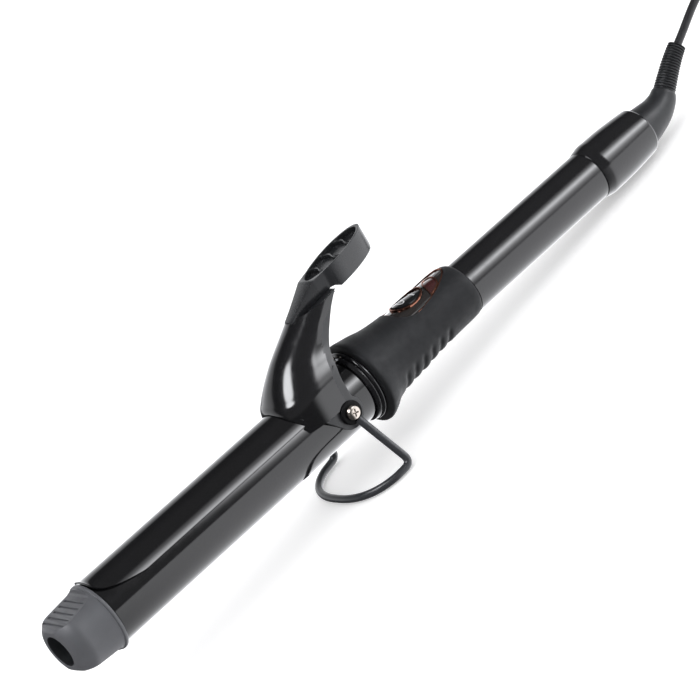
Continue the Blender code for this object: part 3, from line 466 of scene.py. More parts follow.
# Turns wound in layers, each moving over to its neighbour near its end.
def coilTurns():
    s = cordSettings
    radii, heights = s["turnRadii"], s["turnHeights"]
    whole = 360.0 * s["coilTurns"] + s["coilEnd"] - s["coilBegin"]
    points = []
    steps = int(whole / s["coilStep"])
    for i in range(steps + 1):
        wound = whole * i / steps
        turn = wound / 360.0
        k = min(int(turn), len(radii) - 1)
        j = min(k + 1, len(radii) - 1)
        share = ease((turn - k - s["shiftFrom"]) / (1 - s["shiftFrom"]))
        r = radii[k] + (radii[j] - radii[k]) * share
        z = heights[k] + (heights[j] - heights[k]) * share
        a = math.radians(s["coilBegin"] + wound)
        points.append(Vector((s["coilX"] + r * math.cos(a), r * math.sin(a), z)))
    return points


# Strain relief, arch, table, coil and tail up to the plug, in mm on the table.
def cordRoute():
    s = cordSettings
    toTable = tableFrame.inverted() @ ironFrame
    lead = [toTable @ Vector(p) for p in s["relief"]] + [Vector(p) for p in s["lead"]]
    lead = evenly(spline(lead, 200), 4.0)
    leave = []
    for i in range(1, s["leaveSteps"]):
        share = i / s["leaveSteps"]
        a = math.radians(s["coilEnd"] + s["leaveTurn"] * share)
        r = s["turnRadii"][-1] + s["leaveOut"] * ease(share)
        z = s["turnHeights"][-1] - s["leaveDown"] * share
        leave.append(Vector((s["coilX"] + r * math.cos(a), r * math.sin(a), z)))
    tail = [Vector((s["coilX"] + x, s["tailY"], z)) for x, z in s["tail"]]
    return evenly(spline([tuple(p) for p in lead + coilTurns() + leave + tail], 4000), 3.0)


def makeCord():
    route = cordRoute()
    data = bpy.data.curves.new("mains_cord", "CURVE")
    data.dimensions = "3D"
    data.bevel_depth = cordSettings["radius"] * mm
    data.bevel_resolution = 6
    data.use_fill_caps = True
    line = data.splines.new("POLY")
    line.points.add(len(route) - 1)
    for point, place in zip(line.points, route):
        point.co = (*(tableFrame @ place), 1.0)
    line.use_smooth = True
    data.materials.append(looks["vinylCord"])
    total = sum((b - a).length for a, b in zip(route, route[1:]))
    print("scene: cord length mm", round(total))
    cord = bpy.data.objects.new("mains_cord", data)
    scene.collection.objects.link(cord)
    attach(cord, "iron")
    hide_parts("cord_tube", "cord_coil", "cord_tail")


makeCord()
say("cord")


barrelSettings = {"front": -146.6, "rear": 25.6, "radius": 16.0, "wall": 1.2}


def makeBarrel():
    s = barrelSettings
    inner = s["radius"] - s["wall"]
    profile = [(s["front"], s["radius"]), (s["rear"], s["radius"]), (s["rear"], inner), (s["front"], inner)]
    tube = lathe(fillet(profile, {0: 0.4}), 192)
    piece = keepObject("heated_barrel", tube, material=looks["enamelBlack"])
    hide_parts("barrel_tube")


tipSettings = {
    "bore": 8.0, "land": 11.6, "wellDepth": 14.0, "screwHole": 2.2, "spigot": (14.5, 10.0),
    # one finger flat, as (x, z) of the metal taken off
    "flat": ((-169.6, 11.4), (-151.4, 13.5), (-150.5, 13.9), (-149.9, 14.8), (-149.6, 19.0), (-176.0, 19.0),
             (-176.0, 9.4), (-171.0, 10.4)),
    "grooves": 5, "pitch": 3.4, "grooveX": -167.3, "grooveZ": 11.75, "grooveRise": 0.115,
    "grooveWide": (0.95, 0.5), "grooveDeep": 0.75, "grooveHalf": 9.4, "grooveNarrows": 0.25,
}


# Turned cap; two finger flats, each crossed by ridges.
def makeTip():
    s = tipSettings
    spigotR, spigotLong = s["spigot"]
    well = tipFace + s["wellDepth"]
    profile = [(tipFace, s["bore"]), (tipFace, s["land"]), (tipFace + 5.2, 16.4), (tipFlange - 0.4, 16.9),
               (tipFlange, 17.6), (tipFlange + 1.4, 17.6), (tipFlange + 1.5, spigotR),
               (tipFlange + spigotLong, spigotR), (tipFlange + spigotLong, s["screwHole"]),
               (well, s["screwHole"]), (well, s["bore"] - 0.2)]
    body = lathe(fillet(profile, {0: 0.35, 1: 2.3, 2: 3.2, 4: 0.3, 5: 0.4, 10: 0.6}, 8), 144)
    for side in (1, -1):
        body = combined(body, "DIFFERENCE", prism([(x, side * z) for x, z in s["flat"]], -15.0, 15.0, "side"))
        for i in range(s["grooves"]):
            x = s["grooveX"] + s["pitch"] * i
            z = s["grooveZ"] + (x - s["grooveX"]) * s["grooveRise"]
            mouth, foot = s["grooveWide"]
            high, low = side * (z + 1.0), side * (z - s["grooveDeep"])
            half = s["grooveHalf"] - s["grooveNarrows"] * i
            groove = prism([(x - mouth, high), (x - foot, low), (x + foot, low), (x + mouth, high)],
                           -half, half, "side")
            body = combined(body, "DIFFERENCE", groove)
    body = rounded(body, 0.35, 3, 28.0)
    piece = keepObject("cool_tip_cap", body, material=looks["heatNylon"], sharp=40.0)
    # faces inside the bore and on the well's floor take the dark matte plastic: painted shade in the recess
    body.materials.append(looks["mattePlastic"])
    inverse = ironFrame.inverted()
    for face in body.polygons:
        spot = inverse @ face.center
        if math.hypot(spot.y, spot.z) < s["bore"] + 0.1 and spot.x < well + 1.0:
            face.material_index = 1
    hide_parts("cool_tip")


clampSettings = {
    "inner": 16.4, "wall": 1.0, "half": 62.0, "front": -146.0, "rear": -3.0,
    "sweep": 24.0, "sweepPower": 4.5,  # how far its front corners are swept back
    "flare": 0.9, "flareLong": 1.6,
}


# A sprung half-round plate with a boat-shaped, slightly flared front lip.
def makeClampPlate():
    s = clampSettings
    rows = []
    for i in range(97):
        share = i / 48 - 1
        angle = math.radians(s["half"] * share)
        start = s["front"] + s["sweep"] * abs(share) ** s["sweepPower"]
        row = []
        for k in range(61):
            t = (k / 60) ** 2.2
            x = start + (s["rear"] - start) * t
            flare = s["flare"] * math.exp(-max(x - s["front"], 0.0) / s["flareLong"])
            radius = s["inner"] + s["wall"] + flare
            row.append((x, radius * math.sin(angle), radius * math.cos(angle)))
        rows.append(row)
    mesh = meshOf(gridMesh(rows))
    if mesh.polygons[0].normal.z < 0:
        mesh.flip_normals()
    mesh = evaluated(mesh, ("SOLIDIFY", {"thickness": s["wall"], "offset": -1.0, "use_even_offset": True}),
                     ("BEVEL", {"width": 0.3, "segments": 3, "limit_method": "ANGLE",
                                "angle_limit": math.radians(50)}))
    piece = keepObject("clamp_shell", mesh, body="clamp", material=looks["enamelBlack"])
    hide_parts("clamp_plate")


leverSettings = {
    "stations": (
        # front x, front z, back x, back z, half width, squareness
        (-25.6, 4.0, 4.6, 4.0, 17.7, 2.5),
        (-24.6, 15.0, 5.0, 15.0, 17.5, 2.5),
        (-22.2, 19.5, 6.8, 20.0, 16.4, 2.4),
        (-17.2, 25.5, 9.2, 25.0, 14.0, 2.2),
        (-9.8, 32.0, 12.6, 29.5, 11.6, 2.1),
        (-1.0, 37.4, 17.0, 34.5, 10.4, 2.0),
        (5.0, 40.6, 23.6, 41.0, 9.7, 2.0),
        (10.0, 43.6, 31.0, 46.6, 9.0, 2.0),
    ),
    "nose": 0.66, "gloss": 0.86,  # shares of its depth that are round, and polished
    "wall": 2.0, "rows": 84, "columns": 72, "flankSteps": 8,
    "lidMiddle": (20.5, 0, 45.1), "lidSlope": math.atan2(3.0, 21.0), "lidThick": 2.0,
    "saddleInner": 17.2, "saddleOuter": 19.6, "saddleX": (-21.0, -0.8), "room": 17.7,
}


def leverSection(fx, fz, bx, bz, half, power):
    s = leverSettings
    nose, steps = s["nose"], s["flankSteps"]
    front, run = Vector((fx, fz)), Vector((bx - fx, bz - fz))
    points = [(front + run * (nose + (1 - nose) * (1 - i / steps)), half) for i in range(steps)]
    for i in range(s["columns"] + 1):
        t = math.pi / 2 - math.pi * i / s["columns"]
        c, k = math.cos(t), math.sin(t)
        along = nose * (1 - abs(c) ** (2 / power))
        points.append((front + run * along, half * math.copysign(abs(k) ** (2 / power), k)))
    points += [(front + run * (nose + (1 - nose) * (i + 1) / steps), -half) for i in range(steps)]
    return [(spot.x, across, spot.y) for spot, across in points]


def makeLever():
    s = leverSettings
    rows = [leverSection(*values) for values in spline(s["stations"], s["rows"])]
    mesh = meshOf(gridMesh(rows))
    outward = mesh.polygons[len(mesh.polygons) // 2]
    if outward.normal.x > 0:
        mesh.flip_normals()
    mesh = evaluated(mesh, ("SOLIDIFY", {"thickness": s["wall"], "offset": -1.0, "use_even_offset": True}))
    # room for the plate over the barrel, and for the barrel itself below it
    half = clampSettings["half"] + 1.2
    plateRoom = arc(0, 0, s["room"], 90 - half, 90 + half, 60)
    barrelRoom = arc(0, 0, clampSettings["inner"] - 0.05, 90 + half, 450 - half, 110)
    mesh = combined(mesh, "DIFFERENCE", prism(plateRoom + barrelRoom, -60.0, 60.0, "end"))
    mesh = rounded(mesh, 0.35, 3, 40.0)
    # behind the polished share the shell takes the paler nylon: duller, and a painted highlight where its
    # rear edges catch the light
    line = spline(s["stations"], 60)
    litStripFaces = []
    for face in mesh.polygons:
        here = min(line, key=lambda row: abs(row[1] - face.center.z))
        litStripFaces.append((face.center.x - here[0]) / (here[2] - here[0]) > s["gloss"])
    piece = keepObject("lever_shell", mesh, body="clamp", material=looks["glossPlastic"], sharp=35.0)
    mesh.materials.append(looks["paleNylonPaintedSheen"])
    for face, paintedLitFace in zip(mesh.polygons, litStripFaces):
        face.material_index = int(paintedLitFace)
    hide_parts("clamp_lever")
    saddle = arc(0, 0, s["saddleOuter"], 35, 145, 40) + arc(0, 0, s["saddleInner"], 145, 35, 40)
    inner = prism(saddle, *s["saddleX"], "end")
    inner = combined(inner, "DIFFERENCE", rod((-60, 0, 0), (60, 0, 0), s["room"], 192))
    piece = keepObject("lever_saddle", rounded(inner, 0.3, 2), body="clamp", material=looks["mattePlastic"])
    slab = block((-14, 14), (-12, 12), (-s["lidThick"], 0.0))
    slab.transform(Matrix.Translation(s["lidMiddle"]) @ Matrix.Rotation(-s["lidSlope"], 4, "Y"))
    web = [(x + 0.3, y * 0.97) for x, y, z in leverSection(*s["stations"][-1])]
    lid = combined(prism(web, 40.0, 50.0), "INTERSECT", slab)
    piece = keepObject("lever_top_web", rounded(lid, 0.3, 2), body="clamp", material=looks["mattePlastic"])


earSettings = {
    "front": ((5.6, 22.4), (2.5, 19.3), (-2.5, 17.2), (-7.4, 14.6), (-11.3, 11.0), (-14.0, 6.6)),
    "corner": (-13.4, 4.6),
    "eye": 7.9, "eyeFrom": 212, "eyeTo": 382,  # round the pivot, degrees
    "rear": ((5.0, 6.2), (2.6, 10.4), (2.2, 14.7), (4.4, 19.6), (5.8, 22.2)),
    "inside": 16.4, "outside": 18.4, "screwHole": 2.5,
}


# The matte plates at the pivot, wrapping up over the lever's flanks.
def makeEars():
    s = earSettings
    eye = arc(0, 0, s["eye"], s["eyeFrom"], s["eyeTo"], 48)
    outline = spline(s["front"], 30) + [s["corner"]] + eye + spline(s["rear"], 24)
    for name, low, high in (("ear_plate_near", -s["outside"], -s["inside"]),
                            ("ear_plate_far", s["inside"], s["outside"])):
        plate = prism(outline, low, high, "side")
        plate = combined(plate, "DIFFERENCE", rod((0, -30, 0), (0, 30, 0), s["screwHole"]))
        # the ears' paler nylon partly paints the floor's reflection
        piece = keepObject(name, rounded(plate, 0.55, 4), body="clamp", material=looks["paleNylonPaintedSheen"])


padSettings = {
    "centre": 43.8, "halfX": 18.9, "halfY": 9.1, "slope": math.radians(7.7), "depth": 2.7, "rim": 1.0,
    "ribs": (-9.4, 0.0, 9.4), "ribHalf": 0.55, "ribBow": 1.3,
    # (x, z) of the body seen from the side
    "side": ((7.4, 43.6), (31.4, 47.05), (35.3, 46.4), (36.3, 44.8), (61.0, 47.8), (63.4, 50.0),
             (64.0, 59.6), (25.2, 54.4), (20.0, 51.6), (12.0, 47.4), (6.9, 45.0)),
    "backX": 44.4, "backHalf": 19.4, "backTurn": 128,  # the round back, seen from above
    "tail": ((7.0, 3.1), (14.0, 4.1), (21.0, 5.2), (27.0, 6.2)),
}


# An oval dish with a thin rim, on a body that narrows to a tail down the lever's front.
def makeThumbPad():
    s = padSettings
    side = s["side"]
    turns = [math.radians(s["backTurn"] * (i / 48 - 1)) for i in range(97)]
    rear = [(s["backX"] + s["backHalf"] * math.cos(t), s["halfY"] * math.sin(t)) for t in turns]
    taper = spline([*s["tail"], rear[-1]], 24)[:-1]
    plan = [(x, -y) for x, y in taper] + rear + list(reversed(taper))
    body = combined(prism(side, -12.0, 12.0, "side"), "INTERSECT", prism(plan, 38.0, 64.0))
    place = Matrix.Translation((s["centre"], 0, 57.0)) @ Matrix.Rotation(-s["slope"], 4, "Y")
    dish = prism(oval(0.2, s["halfX"] - s["rim"], s["halfY"] - s["rim"], 120, 2.05), -s["depth"], 4.0)
    dish.transform(place)
    body = rounded(combined(body, "DIFFERENCE", dish), 0.42, 4, 30.0)
    piece = keepObject("thumb_pad_shell", body, body="clamp", material=looks["satinPlastic"], sharp=40.0)
    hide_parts("thumb_pad")
    ribs = bmesh.new()
    half = s["ribHalf"]
    section = ((-half * 1.5, -s["depth"]), (-half, -1.3), (-half * 0.7, -0.75), (0.0, -0.5),
               (half * 0.7, -0.75), (half, -1.3), (half * 1.5, -s["depth"]))
    for x in s["ribs"]:
        width = (s["halfY"] - s["rim"]) * math.sqrt(1 - (x / (s["halfX"] - s["rim"])) ** 2) + 0.2
        rows = []
        for i in range(25):
            y = width * (i / 12 - 1)
            bow = x + s["ribBow"] * math.sin(math.pi * y / width) - 0.12 * y
            rows.append([(bow + dx, y, z) for dx, z in section])
        part = meshOf(gridMesh(rows, closed=True, capEnds=True))
        ribs.from_mesh(part)
    mesh = bpy.data.meshes.new("ribs")
    ribs.to_mesh(mesh)
    ribs.free()
    mesh.transform(place)
    piece = keepObject("thumb_pad_ribs", mesh, body="clamp", material=looks["satinPlastic"], sharp=60.0)


# Pan head with a cross recess.
def screwMesh(seat, direction, headR, headH, shankR, length):
    profile = [(-headH, 0.0), (-headH, headR * 0.25), (-headH * 0.97, headR * 0.55),
               (-headH * 0.78, headR * 0.82), (-headH * 0.42, headR * 0.97), (-headH * 0.08, headR),
               (0.0, headR * 0.97), (0.0, shankR), (length, shankR), (length, 0.0)]
    mesh = lathe(profile, 64, closed=False)
    for turn in (0.35, 0.35 + math.pi / 2):
        slot = block((-headH * 1.4, -headH * 0.3), (-headR * 0.52, headR * 0.52), (-headR * 0.1, headR * 0.1))
        slot.transform(Matrix.Rotation(turn, 4, "X"))
        mesh = combined(mesh, "DIFFERENCE", slot)
    mesh = rounded(mesh, 0.08, 2, 35.0)
    turn = Vector(direction).to_track_quat("X", "Z").to_matrix().to_4x4()
    mesh.transform(Matrix.Translation(Vector(seat)) @ turn)
    return mesh


screwSettings = {
    # seat, direction, head radius, head height, shank radius, length
    "pivot_screw_near": ((0, -21.0, 0), (0, 1, 0), 3.6, 2.2, 1.9, 12.0),
    "pivot_screw_far": ((0, 21.0, 0), (0, -1, 0), 3.6, 2.2, 1.9, 12.0),
    "spring_screw": ((15.0, 0, 17.2), (0, 0, -1), 2.4, 1.6, 1.35, 4.6),
    "tip_screw": ((tipFace + 14.0 - gap, 0, 0), (1, 0, 0), 3.6, 2.2, 1.7, 30.0),
}


def makeScrews():
    for node, sizes in screwSettings.items():
        piece = keepObject(node + "_head", screwMesh(*sizes), material=looks["chrome"])
        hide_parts(node)


standSettings = {
    "depth": 26.3, "roundness": 2.43, "bend": 4.6, "wireEnd": (0.9, -4.2),
    "eyeletY": 19.7, "eyeletHole": 2.3, "eyeletR": 5.7, "eyeletHalf": 1.0,
}


def standRoute():
    s = standSettings
    cornerX, cornerY, cornerZ = standCorner
    loop = []
    for i in range(65):
        t = math.pi * i / 64
        c, k = math.cos(t), math.sin(t)
        inward = s["depth"] * abs(k) ** (2 / s["roundness"])
        across = cornerY * math.copysign(abs(c) ** (2 / s["roundness"]), c)
        loop.append(Vector((cornerX - inward * math.cos(tilt), -across, cornerZ - inward * math.sin(tilt))))
    endX, endZ = s["wireEnd"]
    endY = s["eyeletY"] + s["eyeletHalf"]
    near, far = Vector((endX, -endY, endZ)), Vector((endX, endY, endZ))
    result = [near]
    for before, corner, after, rest in ((near, loop[0], loop[5], loop[6:-6]), (loop[-6], loop[-1], far, [])):
        a = corner + (before - corner).normalized() * s["bend"]
        b = corner + (after - corner).normalized() * s["bend"]
        for k in range(9):
            t = k / 8
            result.append((1 - t) ** 2 * a + 2 * t * (1 - t) * corner + t * t * b)
        result += rest
    result.append(far)
    return evenly(result, 1.0)


def makeStand():
    s = standSettings
    route = standRoute()
    wire = sweep(route, [wireR] * len(route), 32)
    piece = keepObject("stand_wire", wire, body="stand", material=looks["coatedWire"], sharp=60.0)
    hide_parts("wire_stand")
    half = s["eyeletHalf"]
    profile = [(-half, s["eyeletHole"]), (-half, s["eyeletR"]), (half, s["eyeletR"]), (half, s["eyeletHole"])]
    for name, side in (("stand_eyelet_near", -1), ("stand_eyelet_far", 1)):
        ring = lathe(fillet(profile, {0: 0.3, 1: 0.8, 2: 0.8, 3: 0.3}), 64)
        place = Matrix.Translation((0, side * s["eyeletY"], 0))
        ring.transform(place @ Matrix.Rotation(math.pi / 2, 4, "Z"))
        # near-black eyelets: painted shade under the screw heads
        piece = keepObject(name, ring, body="stand", material=looks["eyeletPaintedShade"])


gripSettings = {
    "top": ((21.0, 20.9), (23.0, 21.2), (26.5, 20.6), (31.5, 19.7), (38.0, 18.1), (45.0, 17.1), (52.5, 16.5),
            (60.0, 16.1), (75.0, 15.9), (88.0, 15.7), (91.5, 15.2), (92.7, 14.6)),
    "bottom": ((21.0, 21.6), (23.0, 21.9), (26.5, 20.6), (31.5, 18.0), (38.0, 16.9), (45.0, 16.2),
               (52.5, 15.8), (60.0, 14.9), (75.0, 13.9), (88.0, 13.5), (91.5, 13.2), (92.7, 12.8)),
    "ribs": 6, "ribStart": 37.0, "ribPitch": 6.4, "ribDepth": 1.0, "ribWide": 1.5,
    "front": 21.0, "back": 92.7, "mouth": 17.4, "bore": 12.3, "boreStart": 33.2, "mouthEnd": 28.9,
}


# Smoothly interpolated radius at station x.
def lineThrough(table, x):
    for i in range(len(table) - 1):
        if x <= table[i + 1][0] or i == len(table) - 2:
            before = table[max(i - 1, 0)]
            a, b = table[i], table[i + 1]
            after = table[min(i + 2, len(table) - 1)]
            h = b[0] - a[0]
            t = (x - a[0]) / h
            m0 = (b[1] - before[1]) / max(b[0] - before[0], 1e-6) * h
            m1 = (after[1] - a[1]) / max(after[0] - a[0], 1e-6) * h
            return ((2 * t ** 3 - 3 * t * t + 1) * a[1] + (t ** 3 - 2 * t * t + t) * m0
                    + (-2 * t ** 3 + 3 * t * t) * b[1] + (t ** 3 - t * t) * m1)
    return table[-1][1]


def gripRadius(x, angle):
    s = gripSettings
    up = (1 + math.cos(angle)) / 2
    r = lineThrough(s["top"], x) * up + lineThrough(s["bottom"], x) * (1 - up)
    below = math.cos(angle - math.pi)
    for i in range(s["ribs"]):
        centre = s["ribStart"] + s["ribPitch"] * i
        across = math.exp(-((x - centre) / s["ribWide"]) ** 2)
        r -= s["ribDepth"] * across * ease((below - 0.18) / 0.35)
    return r


windowSettings = {
    "centre": 70.5, "half": (19.2, 10.5), "taper": 0.25, "lift": 1.0, "core": 12.3,
    "rocker": (65.0, 8.1, 5.7), "ring": (65.0, 9.5, 6.9),  # middle, half length, half width
    "tilt": math.radians(4.0), "pivotZ": 11.4, "rockerTop": 14.9,
    "lens": ((73.4, -8.8), (80.4, -6.2), (82.2, 0.2), (79.0, 2.0), (76.4, -1.4)),
    "offX": -3.6, "offR": (2.0, 2.6), "inkWide": 0.7,
    "onX": (3.1, 4.0), "onHalf": 2.6,
}


# The grip's window: squarer in front, narrowing towards the cord.
def windowOutline(inset=0.0, steps=140):
    s = windowSettings
    points = []
    for i in range(steps):
        c, k = math.cos(math.tau * i / steps), math.sin(math.tau * i / steps)
        power = 2.2 if c > 0 else 3.0
        along = math.copysign(abs(c) ** (2 / power), c)
        across = math.copysign(abs(k) ** (2 / power), k)
        points.append((s["centre"] + (s["half"][0] - inset) * along,
                       (s["half"][1] - inset) * (1 - s["taper"] * along) * across))
    return points


# Tops a piece with the grip's round; shift lowers its near side.
def crowned(mesh, radius, shift=0.0):
    lift = windowSettings["lift"]
    return combined(mesh, "INTERSECT", rod((40, shift, lift), (100, shift, lift), radius, 320))


# The same outline pulled in towards its middle by about margin.
def shrunk(points, margin):
    middle = sum((Vector(p) for p in points), Vector((0, 0))) / len(points)
    return [tuple(Vector(p) - (Vector(p) - middle).normalized() * margin) for p in points]


# Inside the grip's window: trims, smoked panel and lamp lens.
def makeWindow():
    s = windowSettings
    core = rod((40, 0, 0), (100, 0, 0), s["core"], 160)
    x, a, b = s["ring"]
    lens = spline([*s["lens"], s["lens"][0]], 60)[:-1]
    trim = combined(prism(windowOutline(0.3), 8.0, 20.0), "DIFFERENCE",
                    prism(windowOutline(1.0), 7.0, 21.0), core.copy())
    panel = combined(prism(windowOutline(1.2), 8.0, 20.0), "DIFFERENCE", core.copy(),
                     prism(oval(x, a + 0.2, b + 0.2, 96), 5.0, 20.0), prism(shrunk(lens, -0.9), 5.0, 20.0))
    ring = combined(prism(oval(x, a, b, 96), 11.0, 20.0), "DIFFERENCE",
                    prism(oval(x, a - 0.7, b - 0.7, 96), 10.0, 21.0), core.copy())
    bezel = combined(prism(shrunk(lens, -0.7), 9.0, 20.0), "DIFFERENCE", prism(lens, 8.0, 21.0), core.copy())
    glass = combined(prism(shrunk(lens, 0.1), 9.0, 20.0), "DIFFERENCE", core)
    for name, mesh, radius, shift, look, node, slot in (
            ("window_trim_ring", trim, 14.9, 1.0, "copperTrim", "window_trim", "copper"),
            ("smoked_panel", panel, 14.4, 0.4, "smokedPanel", "switch_panel", "gloss_black"),
            ("rocker_trim_ring", ring, 15.1, 0.9, "copperTrim", "rocker_trim", "copper"),
            ("lamp_trim", bezel, 14.8, 0.2, "copperTrim", "led_frame", "copper"),
            ("lamp_lens", glass, 14.5, 0.2, "redLens", "led_lens", "led_red")):
        mesh = rounded(crowned(mesh, radius, shift), 0.14, 2, 40.0)
        piece = keepObject(name, mesh, material=looks[look], sharp=40.0)
        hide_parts(node)


# The rocker, drawn about its pivot, with an open circle for off and a bar for on.
def makeRocker():
    s = windowSettings
    x, a, b = s["rocker"]
    tipped = Matrix.Rotation(s["tilt"], 4, "Y")
    place = ironFrame @ Matrix.Translation((x, 0, s["pivotZ"])) @ tipped
    axis = s["lift"] - s["pivotZ"]
    top = rod((-12, 0, axis), (12, 0, axis), s["rockerTop"], 320)
    cap = rounded(combined(prism(oval(0.0, a, b, 96), -0.6, 8.0), "INTERSECT", top), 0.4, 4, 40.0)
    piece = keepObject("rocker_cap", cap, place, "rocker", looks["glossPlastic"], 40.0)
    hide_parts("power_rocker")
    wide, high = s["offR"]
    zero = combined(prism(oval(s["offX"], wide, high, 48), 0.0, 8.0), "DIFFERENCE",
                    prism(oval(s["offX"], wide - s["inkWide"], high - s["inkWide"], 48), -1.0, 9.0))
    low, high = s["onX"]
    half = s["onHalf"]
    bar = prism([(low, -half), (high, -half), (high, half), (low, half)], 0.0, 8.0)
    for name, mark in (("off_mark", zero), ("on_mark", bar)):
        mark = combined(mark, "INTERSECT", rod((-12, 0, axis), (12, 0, axis), s["rockerTop"] + 0.03, 320))
        mark = combined(mark, "DIFFERENCE", rod((-14, 0, axis), (14, 0, axis), s["rockerTop"] - 0.2, 320))
        piece = keepObject(name, mark, place, "rocker", looks["whiteInk"], 40.0)


def makeGrip():
    s = gripSettings
    columns, steps = 180, 180
    turns = [math.tau * k / columns for k in range(columns)]
    front, back = s["front"], s["back"]

    def ringRow(x, radii):
        return [(x, r * math.sin(t), r * math.cos(t)) for r, t in zip(radii, turns)]

    rows = [ringRow(front, [s["mouth"]] * columns)]
    rows.append(ringRow(front, [gripRadius(front, t) - 0.8 for t in turns]))
    for i in range(1, steps + 1):
        x = front + (back - front) * i / steps
        if i > 1:
            rows.append(ringRow(x, [gripRadius(x, t) for t in turns]))
    rows.append(ringRow(back, [s["bore"]] * columns))
    rows.append(ringRow(s["boreStart"], [s["bore"]] * columns))
    rows.append(ringRow(s["mouthEnd"], [s["mouth"]] * columns))
    rows.append(rows[0])
    bm = gridMesh(rows, closed=True)
    bmesh.ops.remove_doubles(bm, verts=bm.verts, dist=0.0001)
    sleeve = combined(meshOf(bm), "DIFFERENCE", prism(windowOutline(), 4.0, 24.0))
    sleeve = rounded(sleeve, 0.4, 3, 45.0)
    piece = keepObject("grip_sleeve", sleeve, material=looks["softRubber"], sharp=50.0)
    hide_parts("rubber_grip")


bezelSettings = {
    "profile": ((15.6, 16.3), (15.6, 17.2), (17.6, 17.8), (17.8, 17.2), (18.2, 17.2), (18.5, 18.0),
                (19.2, 18.5), (20.4, 18.4), (20.7, 17.6), (20.7, 16.3)),
    "notchX": (14.6, 18.1), "notchHalf": 3.9,  # clears the leaf spring
}


def makeBezel():
    s = bezelSettings
    corners = {1: 0.3, 2: 0.25, 3: 0.15, 4: 0.15, 5: 0.3, 6: 0.5, 7: 0.3}
    ring = lathe(fillet(s["profile"], corners, 4), 160)
    notch = block(s["notchX"], (-s["notchHalf"], s["notchHalf"]), (14.0, 20.0))
    ring = rounded(combined(ring, "DIFFERENCE", notch), 0.12, 2, 50.0)
    piece = keepObject("bezel_ring", ring, material=looks["glossPlastic"])
    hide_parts("front_bezel")


handleSettings = {
    "tube": ((34.0, 12.0), (93.3, 12.0), (93.3, 12.9), (185.7, 12.9), (185.7, 11.9), (194.0, 11.9),
             (194.0, 10.7), (34.0, 10.7)),
    "switchX": (55.5, 86.0), "switchHalf": 5.6,  # the opening for the switch under the window
    "cap": ((186.0, 12.3), (186.0, 13.05), (191.5, 14.3), (205.0, 14.15), (216.0, 13.4), (223.4, 12.7),
            (capEnd, 12.3), (capEnd, 11.0), (212.0, 11.0), (212.0, 12.3)),
}


def makeHandle():
    s = handleSettings
    tube = lathe(fillet(s["tube"], {2: 0.3}), 160)
    tube = combined(tube, "DIFFERENCE", block(s["switchX"], (-s["switchHalf"], s["switchHalf"]), (5.0, 16.0)))
    piece = keepObject("handle_shell", tube, material=looks["glossPlastic"], sharp=40.0)
    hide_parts("handle_tube")
    mesh = lathe(fillet(s["cap"], {1: 0.3, 2: 1.6, 3: 5.0, 4: 4.0, 5: 0.5, 7: 0.3}, 8), 160)
    piece = keepObject("rear_cap_shell", mesh, material=looks["glossPlastic"], sharp=40.0)
    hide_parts("rear_cap")


swivelSettings = {
    "stem": ((206.2, 0, 0), (215.0, 0, 0)),
    "boot": ((capEnd, 0, 0), (231.0, 0, 0.3), (238.5, 0, 1.2), (244.5, 0, 3.4), (249.0, 0, 6.6)),
    "bootR": 10.7, "bootNarrows": 4.7, "bootPower": 1.15,
    "sleeve": ((249.2, 0, 6.8), (254.0, 0, 10.4), (259.2, 0, 14.2), (264.6, 0, 17.7), (268.6, 0, 19.9)),
    "sleeveR": 5.6, "sleeveNarrows": 1.1, "ribs": 17, "ribDepth": 0.75,
}


def makeBoot():
    s = swivelSettings
    line = evenly(spline(s["boot"], 40), 0.8)
    count = len(line) - 1
    radii = [s["bootR"] - s["bootNarrows"] * (i / count) ** s["bootPower"] for i in range(count + 1)]
    radii[-1] -= 0.35
    boot = sweep([*s["stem"], *line], [s["bootR"]] * 2 + radii, 96)
    piece = keepObject("swivel_boot_shell", boot, body="cord_swivel", material=looks["mattePlastic"],
                       sharp=50.0)
    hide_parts("swivel_boot")


# Tapered and ringed, so that it bends where the cord leaves.
def makeStrainRelief():
    s = swivelSettings
    line = evenly(spline(s["sleeve"], 200), 0.08)
    count = len(line) - 1
    radii = []
    for i in range(count + 1):
        share = i / count
        wave = ease(0.5 + 0.9 * math.cos(math.tau * s["ribs"] * share))
        radii.append(s["sleeveR"] - s["sleeveNarrows"] * share - s["ribDepth"] * (1 - wave))
    piece = keepObject("strain_relief_sleeve", sweep(line, radii, 48), body="cord_swivel",
                       material=looks["mattePlastic"], sharp=60.0)
    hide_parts("strain_relief")


makeBarrel()
makeTip()
say("barrel and tip")
makeClampPlate()
makeLever()
makeEars()
makeThumbPad()
say("clamp")
makeScrews()
makeStand()
say("pivot and stand")
makeGrip()
makeWindow()
makeRocker()
makeBezel()
makeHandle()
makeBoot()
makeStrainRelief()
say("handle")


studioSettings = {
    "floor": "#f6f6f7", "floorGlow": 0.35, "floorHalf": 6.0, "floorDrop": 0.0004,  # metres
    "ambient": 1.0, "topPower": 5.0,
    # what polish sees, as (degrees, level): -90 the far horizon, 0 overhead, 90 the front
    "room": ((-90, 2.0), (-76, 1.5), (-66, 1.0), (-59, 0.8), (-53, 0.1), (-40, 0.08), (-12, 0.22), (8, 0.25),
             (40, 0.25), (90, 0.3)),
    # a long strip lamp over the front, and how far towards the cord a surface has to lean to see it
    "strip": ((-90, 0.0), (30, 0.0), (42, 2.2), (50, 7.5), (57, 12.0), (64, 7.0), (72, 3.2), (82, 1.4),
              (90, 0.5)),
    "stripSide": (0.33, 0.43),
    # a square lamp overhead on the tip's side
    "square": (-0.47, -0.08, 0.88), "squareEdge": (0.962, 0.988), "squareLevel": 16.0,
    # below the horizon: pale table, bright towards the cord and dark towards the tip
    "tableSide": (-0.02, 0.30), "tableLevel": (0.1, 2.4),
}


